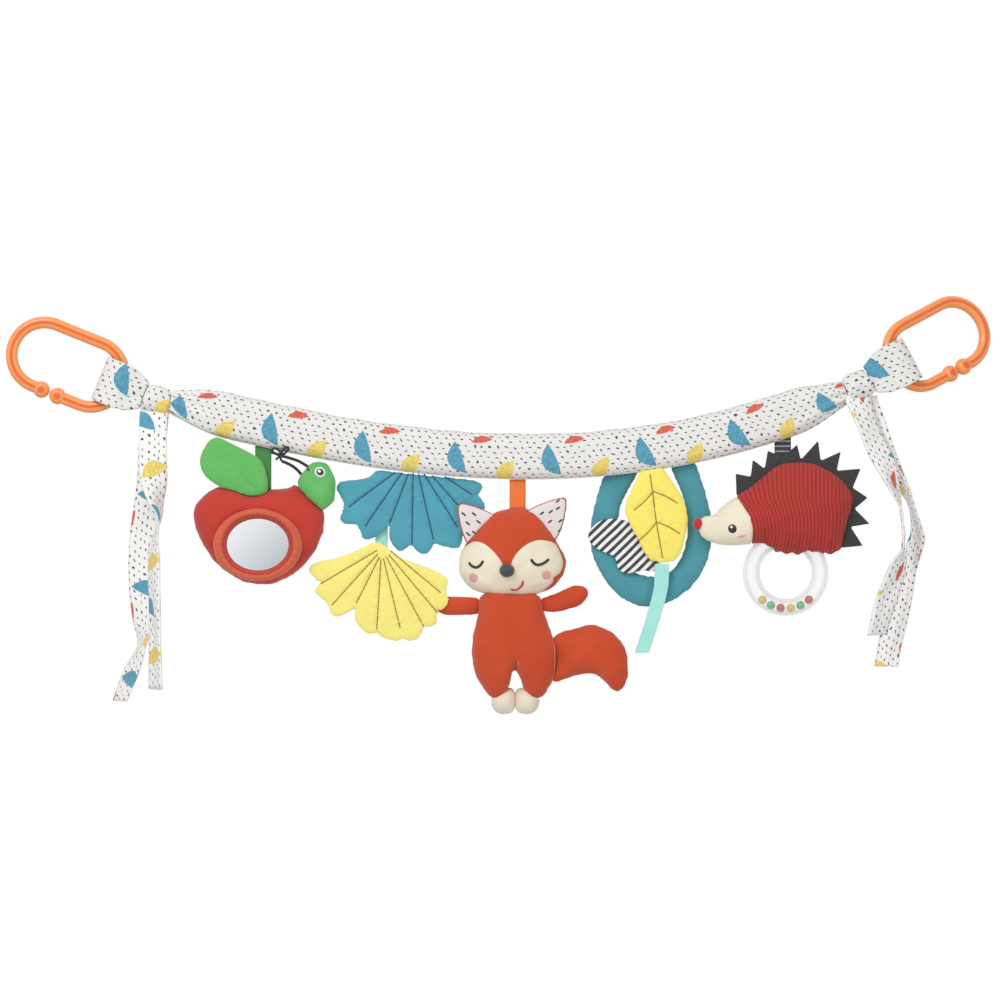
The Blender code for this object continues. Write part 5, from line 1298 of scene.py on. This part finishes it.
notched(blue, blue_rows)
notched(yellow, yellow_rows)
LONG_STITCH = {"pitch": 0.0023, "length": 0.0027}
sewn("blue_leaf_rows", blue, blue_rows, NAVY_THREAD, "blue_leaf", thread=0.00046, **LONG_STITCH)
sewn("yellow_leaf_rows", yellow, yellow_rows, BROWN_THREAD, "yellow_ginkgo", thread=0.0004, **LONG_STITCH)
MINT_RIBBON = ribbon("mint_leaf_ribbon", linear(166, 230, 216))
ribbon_piece = skin("leaf_ribbon_cloth", ["leaf_ribbon"], 0.0005, smooth=2)
dressed(ribbon_piece, MINT_RIBBON, "blue_leaf", "leaf_ribbon", slot="mint_ribbon")
print("leaf faces", len(blue.data.polygons), len(yellow.data.polygons))

# %% [markdown]
# ## Fox
# A doll with a padded head, body, arms and tail. The face is pieced: two cream lobes below an orange
# cap. Closed eyes, a smile and the ear patterns are embroidered, and the cheeks are printed dots.

# %% Face of the fox
CREAM_SHAPE = smooth_line(outline([  # the two lobes of the face, up to the seam of the orange cap
    (466.6, 544.7), (471.6, 541.8), (478.2, 541.4), (484.8, 543.9), (491.5, 549.3), (496.4, 554.7),
    (500.6, 560.5), (503.4, 566.5)]), 4)[:-1]
CREAM_SHAPE += smooth_line(outline([
    (510.4, 566.5), (513, 558.8), (518, 551.4), (524.6, 545.6), (531.3, 541.8), (539.6, 539.8),
    (547.8, 540.6), (555.3, 543.1), (558.6, 548), (561.9, 555.5), (563.6, 562.1), (562.8, 567.9),
    (559.5, 573.7), (553.6, 577.9), (553.2, 582), (547.8, 587.8), (537.9, 595.3)]), 4)
CREAM_SHAPE += outline([(530, 612), (445, 612), (445, 558), (458, 550)])  # round below the chin
head = pieces["fox_head_cushion"]
places, outward = points_of(head), normals_of(head)
face = area_distance(places, CREAM_SHAPE)
behind = np.clip((places[:, 1] - 0.002) * 1.2, 0, 0.02)  # the cream ends soon behind the sides
mark(head, "face", face - behind)
seam = 0.0005 * np.exp(-((face - behind) / 0.0009) ** 2)
move(head, places - outward * seam[:, None])
HEAD = Finish("fox_head_velour", 0.92, sheen=0.3)
HEAD.shader.inputs["Sheen Roughness"].default_value = PILE_SHEEN
nap(HEAD, HEAD.mixed(HEAD.attribute("face").above(0.0, 0.3), linear(206, 74, 34), linear(243, 233, 208)), 0.1)
head.data.materials.clear()
head.data.materials.append(HEAD.material)

EYES = [[(469.1, 562.1), (472.0, 565.6), (476.5, 567.1), (480.6, 564.8), (483.6, 560.5)],
        [(530.8, 558.8), (533.6, 562.8), (537.9, 564.6), (543.8, 562.6), (548.7, 558.8)]]
eye_lines = [smooth_line(outline(points), 4) for points in EYES]
embroidered("fox_eyes", head, eye_lines, 0.0009, BLACK_THREAD, "fox")
smile = smooth_line(outline([(510.9, 588.6), (516, 589.4), (521.3, 585.4), (523, 580.6)]), 5)
embroidered("fox_smile", head, [smile], 0.0007, RED_THREAD, "fox")
for side, (px, py) in {"left": (473.2, 577.5), "right": (546.2, 574.6)}.items():
    cheek = dome("fox_cheek_" + side, head, at(px, py), 0.0034, 0.00035, sink=0.0001, squeeze=0.85)
    rides(cheek, BLUSH, "fox")
    strokes = [ruled(at(px - 2.6, py + shift), at(px + 2.6, py + shift)) for shift in (-1.5, 0.6, 2.4)]
    embroidered("fox_cheek_lines_" + side, cheek, strokes, 0.00022, LILAC, "fox", lift=0.00005)
print("fox face done")

# %% Nose and ears of the fox
NOSE_GREY = plain("fox_nose_felt", linear(72, 72, 76), 0.85, sheen=0.35)
nose = finer(skin("fox_nose_pad", ["fox_nose"], 0.0008, smooth=4))
dressed(nose, NOSE_GREY, "fox", "fox_nose", slot="nose_grey")
EAR = velour("ear_cloth", linear(232, 224, 222), linear(182, 74, 52), 1.2, contrast=0.05)
EAR_DASHES = {  # run and fall of a dash, and the middles of the dashes
    "left": (4.2, 3.4, [(463.7, 514), (474, 514), (478.6, 521.9), (467.8, 523.2), (468.2, 533.9),
                        (474.5, 532.7), (481, 529)]),
    "right": (4.0, -3.0, [(534.2, 514.5), (542, 513.2), (550.7, 511.6), (557.8, 508.2), (549.9, 521.5),
                          (539.6, 522.3), (548.3, 529.4), (560.3, 520.7), (559.9, 529.8), (557.8, 501)]),
}
for side, (run, fall, spots) in EAR_DASHES.items():
    ear = flat_cushion("fox_ear_%s_cushion" % side, "fox_ear_" + side, EAR, "fox", "cream_velour")
    dashes = [ruled(at(px - run / 2, py - fall / 2), at(px + run / 2, py + fall / 2), step=0.0008)
              for px, py in spots]
    embroidered("fox_ear_dashes_" + side, ear, dashes, 0.00058, BLACK_PAD, "fox", lift=0.00005)
FOX_RIBBON = ribbon("fox_strap_ribbon", linear(238, 119, 42))
strap("fox_strap_cloth", "fox_strap", 0.0102, FOX_RIBBON, "fox", "fox_ribbon")
print("nose, ears and strap done")

# %% Body and feet of the fox
body = pieces["fox_body_cushion"]
# Painted highlight: a pale thread along the seams of the body stands in for the light on their edges.
SEAM_HIGHLIGHTS = [[(545, 599), (550, 622), (554, 646), (554, 672), (548.4, 690)],
         [(517.6, 674), (518.4, 668), (518.2, 660)]]
seam_highlight_lines = [smooth_line(outline(points), 5) for points in SEAM_HIGHLIGHTS]
SEAM_HIGHLIGHT_THREAD = plain("fox_seam_painted_highlight", linear(226, 128, 84), 0.8, sheen=0.2)
embroidered("fox_seam_highlights", body, seam_highlight_lines, 0.00042, SEAM_HIGHLIGHT_THREAD, "fox", lift=0.00004)
CREAM_SOFT = velour("feet_velour", linear(238, 226, 206), contrast=0.06)


def pressed(piece, inward, touch=0.0004):
    """Fills the inner half of a foot, where the two feet lie against each other."""
    places = points_of(piece)
    low, high = places.min(axis=0), places.max(axis=0)
    middle, half = (low + high)[[0, 2]] / 2, (high - low)[[0, 2]] / 2
    across = (places[:, [0, 2]] - middle) / half
    squarer = np.sqrt((across ** 2).sum(axis=1)) / np.cbrt((np.abs(across) ** 3).sum(axis=1)).clip(0.001)
    share = np.clip(across[:, 0] * inward * 2, 0, 1)
    across *= (1 + (squarer - 1) * share)[:, None]
    places[:, [0, 2]] = middle + across * half
    places[:, 0] += inward * touch * share
    move(piece, places)
    return piece


for side, inward in (("left", 1), ("right", -1)):
    foot = skin("fox_foot_%s_cushion" % side, ["fox_foot_" + side], 0.0014, 2, 0.0005)
    finer(pressed(foot, inward))
    dressed(foot, CREAM_SOFT, "fox", "fox_foot_" + side, slot="cream_velour")
print("fox body faces", len(body.data.polygons))

# %% [markdown]
# ## Teal ring and its leaves
# An open ring of velour frames a yellow leaf with stitched veins, a crackle leaf of striped satin and a
# narrow ribbon. The ring can be gripped through its opening.

# %% Teal ring and its leaves
TEAL = velour("teal_ring_velour", linear(78, 154, 168), contrast=0.15)
ring = finer(skin("teal_ring_cushion", ["teal_ring"], 0.0017, 4, 0.0004))
places, outward = points_of(ring), normals_of(ring)
ripple = np.sin(places[:, 0] * 330 + 2.5 * np.sin(places[:, 2] * 190)) * np.sin(places[:, 2] * 260 + 1.7)
move(ring, places - outward * (0.00012 * (1 + ripple))[:, None])
dressed(ring, TEAL, "teal_ring", "teal_ring", slot="teal_velour", fill=0.7)

YELLOW_LEAF = velour("yellow_leaf_cloth", linear(253, 237, 112), linear(250, 240, 170), 0.5, contrast=0.05)
VEIN = [(650.0, 475.6), (652.2, 491.1), (655.9, 521), (659.6, 542.1), (662.2, 557)]
TWIGS = [((652.2, 492.4), (634.5, 509.4)), ((653.4, 491.7), (676.2, 502.6)),
         ((655.9, 522.2), (639.5, 539.8)), ((658.4, 522.8), (678.8, 533.2))]
vein_lines = [smooth_line(outline(VEIN), 4)] + [ruled(at(*a), at(*b), 0.04) for a, b in TWIGS]
leaf = flat_cushion("yellow_leaf_pad", "yellow_leaf", YELLOW_LEAF, "yellow_leaf", "yellow_velour", vein_lines,
                    0.0005)
sewn("yellow_leaf_veins", leaf, vein_lines, BROWN_THREAD, "yellow_leaf", pitch=0.0016, length=0.0019,
     thread=0.00042)

STRIPE = 2.05  # width of one satin stripe in millimetres
SATIN = Finish("striped_satin", 0.35, sheen=0.2, coat=0.15)
x, _, z = SATIN.axes(SATIN.place)
slant = (z * 0.72 - x * 0.69 + SATIN.noise(30, 2) * 0.0016) * 1000
wave = SATIN.math("PINGPONG", slant, STRIPE)
SATIN.paint(SATIN.mixed(wave.above(1.02, 0.1), linear(240, 240, 240), linear(38, 38, 42)))
SATIN.bump(SATIN.noise(160, 3), 0.0006, 0.3)
striped = skin("striped_leaf_cloth", ["striped_leaf"], 0.00042, smooth=2)
places = points_of(striped)
places[:, 1] += 0.0002 * np.sin(places[:, 0] * 620 + places[:, 2] * 380) * np.sin(places[:, 2] * 540)
move(striped, places)
dressed(striped, SATIN, "yellow_leaf", "striped_leaf", slot="striped_satin")

MINT = ribbon("mint_tail_ribbon", linear(168, 233, 222))
tail_cloth = skin("mint_tail_cloth", ["mint_tail"], 0.00042, smooth=1)
dressed(tail_cloth, MINT, "mint_tail", "mint_tail", slot="mint_ribbon")
print("faces", [len(piece.data.polygons) for piece in (ring, striped, tail_cloth)])

# %% [markdown]
# ## Hedgehog rattle
# The body is wide-wale corduroy, the face cream velour and the spines are a double zigzag of felt. A
# clear ring with six beads runs through a sleeve below the belly. The wales bend with the cut of the
# cloth: they follow the seam of the face at the left and straighten towards the back.

# %% Corduroy body
WALE, WALE_DEPTH = 0.0024, 0.00022  # distance of two ribs, and half the depth between them
SLEEVE_TOP = -0.093
FACE_EDGE = smooth_line(outline([(726, 478), (733.4, 498.9), (742.3, 507.8), (748.7, 519.3), (751.2, 532),
                                 (750.6, 543.5), (744, 566)]), 5)


def wales(places):
    """Distance across the wales: they copy the seam of the face and stand upright further right."""
    seam_x = np.interp(places[:, 2], [z for _, z in reversed(FACE_EDGE)], [x for x, _ in reversed(FACE_EDGE)])
    bend = np.exp(-np.clip(places[:, 0] - seam_x, 0, 1) / 0.034)
    return places[:, 0] - (seam_x - 0.3955) * bend - 0.08 * (places[:, 2] + 0.078) * (1 - bend)


cord = finer(skin("hedgehog_cord", ["hedgehog_body"], 0.0011, smooth=3))
places, outward = points_of(cord), normals_of(cord)
across = wales(places)
wave = np.cos(2 * math.pi * across / WALE)
side_on = np.clip(np.abs(outward[:, 1]) * 2.2, 0, 1)
# Cloth is gathered into the sleeve of the ring; above it the skin grows back to its solid.
low_edge = np.clip((SLEEVE_TOP - places[:, 2]) / 0.012, 0, 1)
crinkle = 0.0006 * low_edge * np.sin(places[:, 0] * 900 + places[:, 1] * 300)
upper = np.clip((places[:, 2] - SLEEVE_TOP) / 0.01, 0, 1)
mark(cord, "wale", (wave * 0.5 + 0.5) * 0.001)
move(cord, places + outward * (WALE_DEPTH * (wave - 1) * side_on + crinkle + 0.0007 * upper)[:, None])
CORD = Finish("red_corduroy_look", 0.92, sheen=0.1)
pile = CORD.noise(1100, 2)
# Painted light and shade: the ridges of the wales get a lighter red and the channels between them a darker
# one.
ridge = CORD.attribute("wale")
tint = CORD.mixed(ridge.above(0.42, 0.4), linear(160, 40, 36), linear(192, 60, 50))
CORD.paint(CORD.mixed(pile * 0.35, tint, linear(150, 40, 38)))
CORD.bump(pile, 0.0004, 0.4)
dressed(cord, CORD, "hedgehog", "hedgehog_body", slot="red_corduroy", fill=0.8)
print("corduroy faces", len(cord.data.polygons))

# %% Face, nose and spines
face = finer(skin("hedgehog_face_cushion", ["hedgehog_face"], 0.0013, 4, 0.0004))
dressed(face, CREAM, "hedgehog", "hedgehog_face", slot="cream_velour", fill=0.8)
SNOUT = plain("snout_velour", linear(196, 36, 42), 0.85, sheen=0.4)
snout = finer(skin("hedgehog_snout", ["hedgehog_nose"], 0.0007, smooth=3))
dressed(snout, SNOUT, "hedgehog", "hedgehog_nose", slot="snout_red")
eye = rides(dome("hedgehog_eye", face, at(731.1, 528.6), 0.0029, 0.0006), BLACK_PAD, "hedgehog")
rides(dome("hedgehog_eye_light", eye, at(730.2, 526.9), 0.0009, 0.0003, sink=0.0001), WHITE_PAD, "hedgehog")
dash = ruled(at(736.6, 536.5), at(744.8, 534.8))
embroidered("hedgehog_cheek", face, [dash], 0.0008, BLUSH, "hedgehog")

SPINE_CENTRE = (0.4285, 0, -0.0785)  # the strips of felt stand round this place
FELT = Finish("spine_felt", 0.95, sheen=0.25)
fluff = FELT.noise(900, 4)
FELT.paint(FELT.mixed(fluff, linear(40, 38, 40), linear(74, 72, 74)))
FELT.bump(fluff, 0.0005, 0.5)
felt = skin("hedgehog_spine_felt", ["hedgehog_spines"], 0.0006, smooth=1)
places, outward = points_of(felt), normals_of(felt)
inward = (np.array(SPINE_CENTRE) - places) * (1, 0, 1)
inward /= np.linalg.norm(inward, axis=1, keepdims=True)
inner = (outward * inward).sum(axis=1) > 0.55
lean = 0.00025 * np.sin(places[:, 0] * 260) * np.sin(places[:, 2] * 230)
places[:, 1] += lean
move(felt, places + inward * (0.0016 * inner)[:, None])
dressed(felt, FELT, "hedgehog", "hedgehog_spines", slot="black_felt")
STRIPES = (linear(170, 172, 180), (-35.6, -38.8, -42.0))
BLACK_RIBBON = ribbon("hedgehog_strap_ribbon", linear(40, 40, 46), STRIPES)
strap("hedgehog_strap_cloth", "hedgehog_strap", 0.0104, BLACK_RIBBON, "hedgehog", "elastic_black")
print("face, spines and strap done")

# %% Clear ring and beads
CLEAR = Finish("clear_plastic_look", 0.08, coat=0.3)
CLEAR.paint((0.93, 0.95, 0.97))
fresnel = CLEAR.node("ShaderNodeLayerWeight", {}, Blend=0.42, out=1)
CLEAR.tree.links.new((fresnel * 0.6 + 0.07).socket, CLEAR.shader.inputs["Alpha"])
CLEAR.bump(CLEAR.noise(90, 1), 0.0003, 0.08)
for half in ("rattle_ring_front", "rattle_ring_rear"):
    node_finish(half, CLEAR)
BEAD_TINTS = {"yellow": linear(240, 206, 50), "green": linear(84, 190, 104), "red": linear(205, 44, 40)}
BEADS = {}
for tint, colour in BEAD_TINTS.items():
    BEADS[tint] = plain("bead_look_" + tint, colour, 0.3, coat=0.3, scale=90, depth=0.00006)
for count, tint in enumerate(("yellow", "green", "red", "yellow", "green", "red"), 1):
    node_finish("bead_%d" % count, BEADS[tint])
print("rattle done")
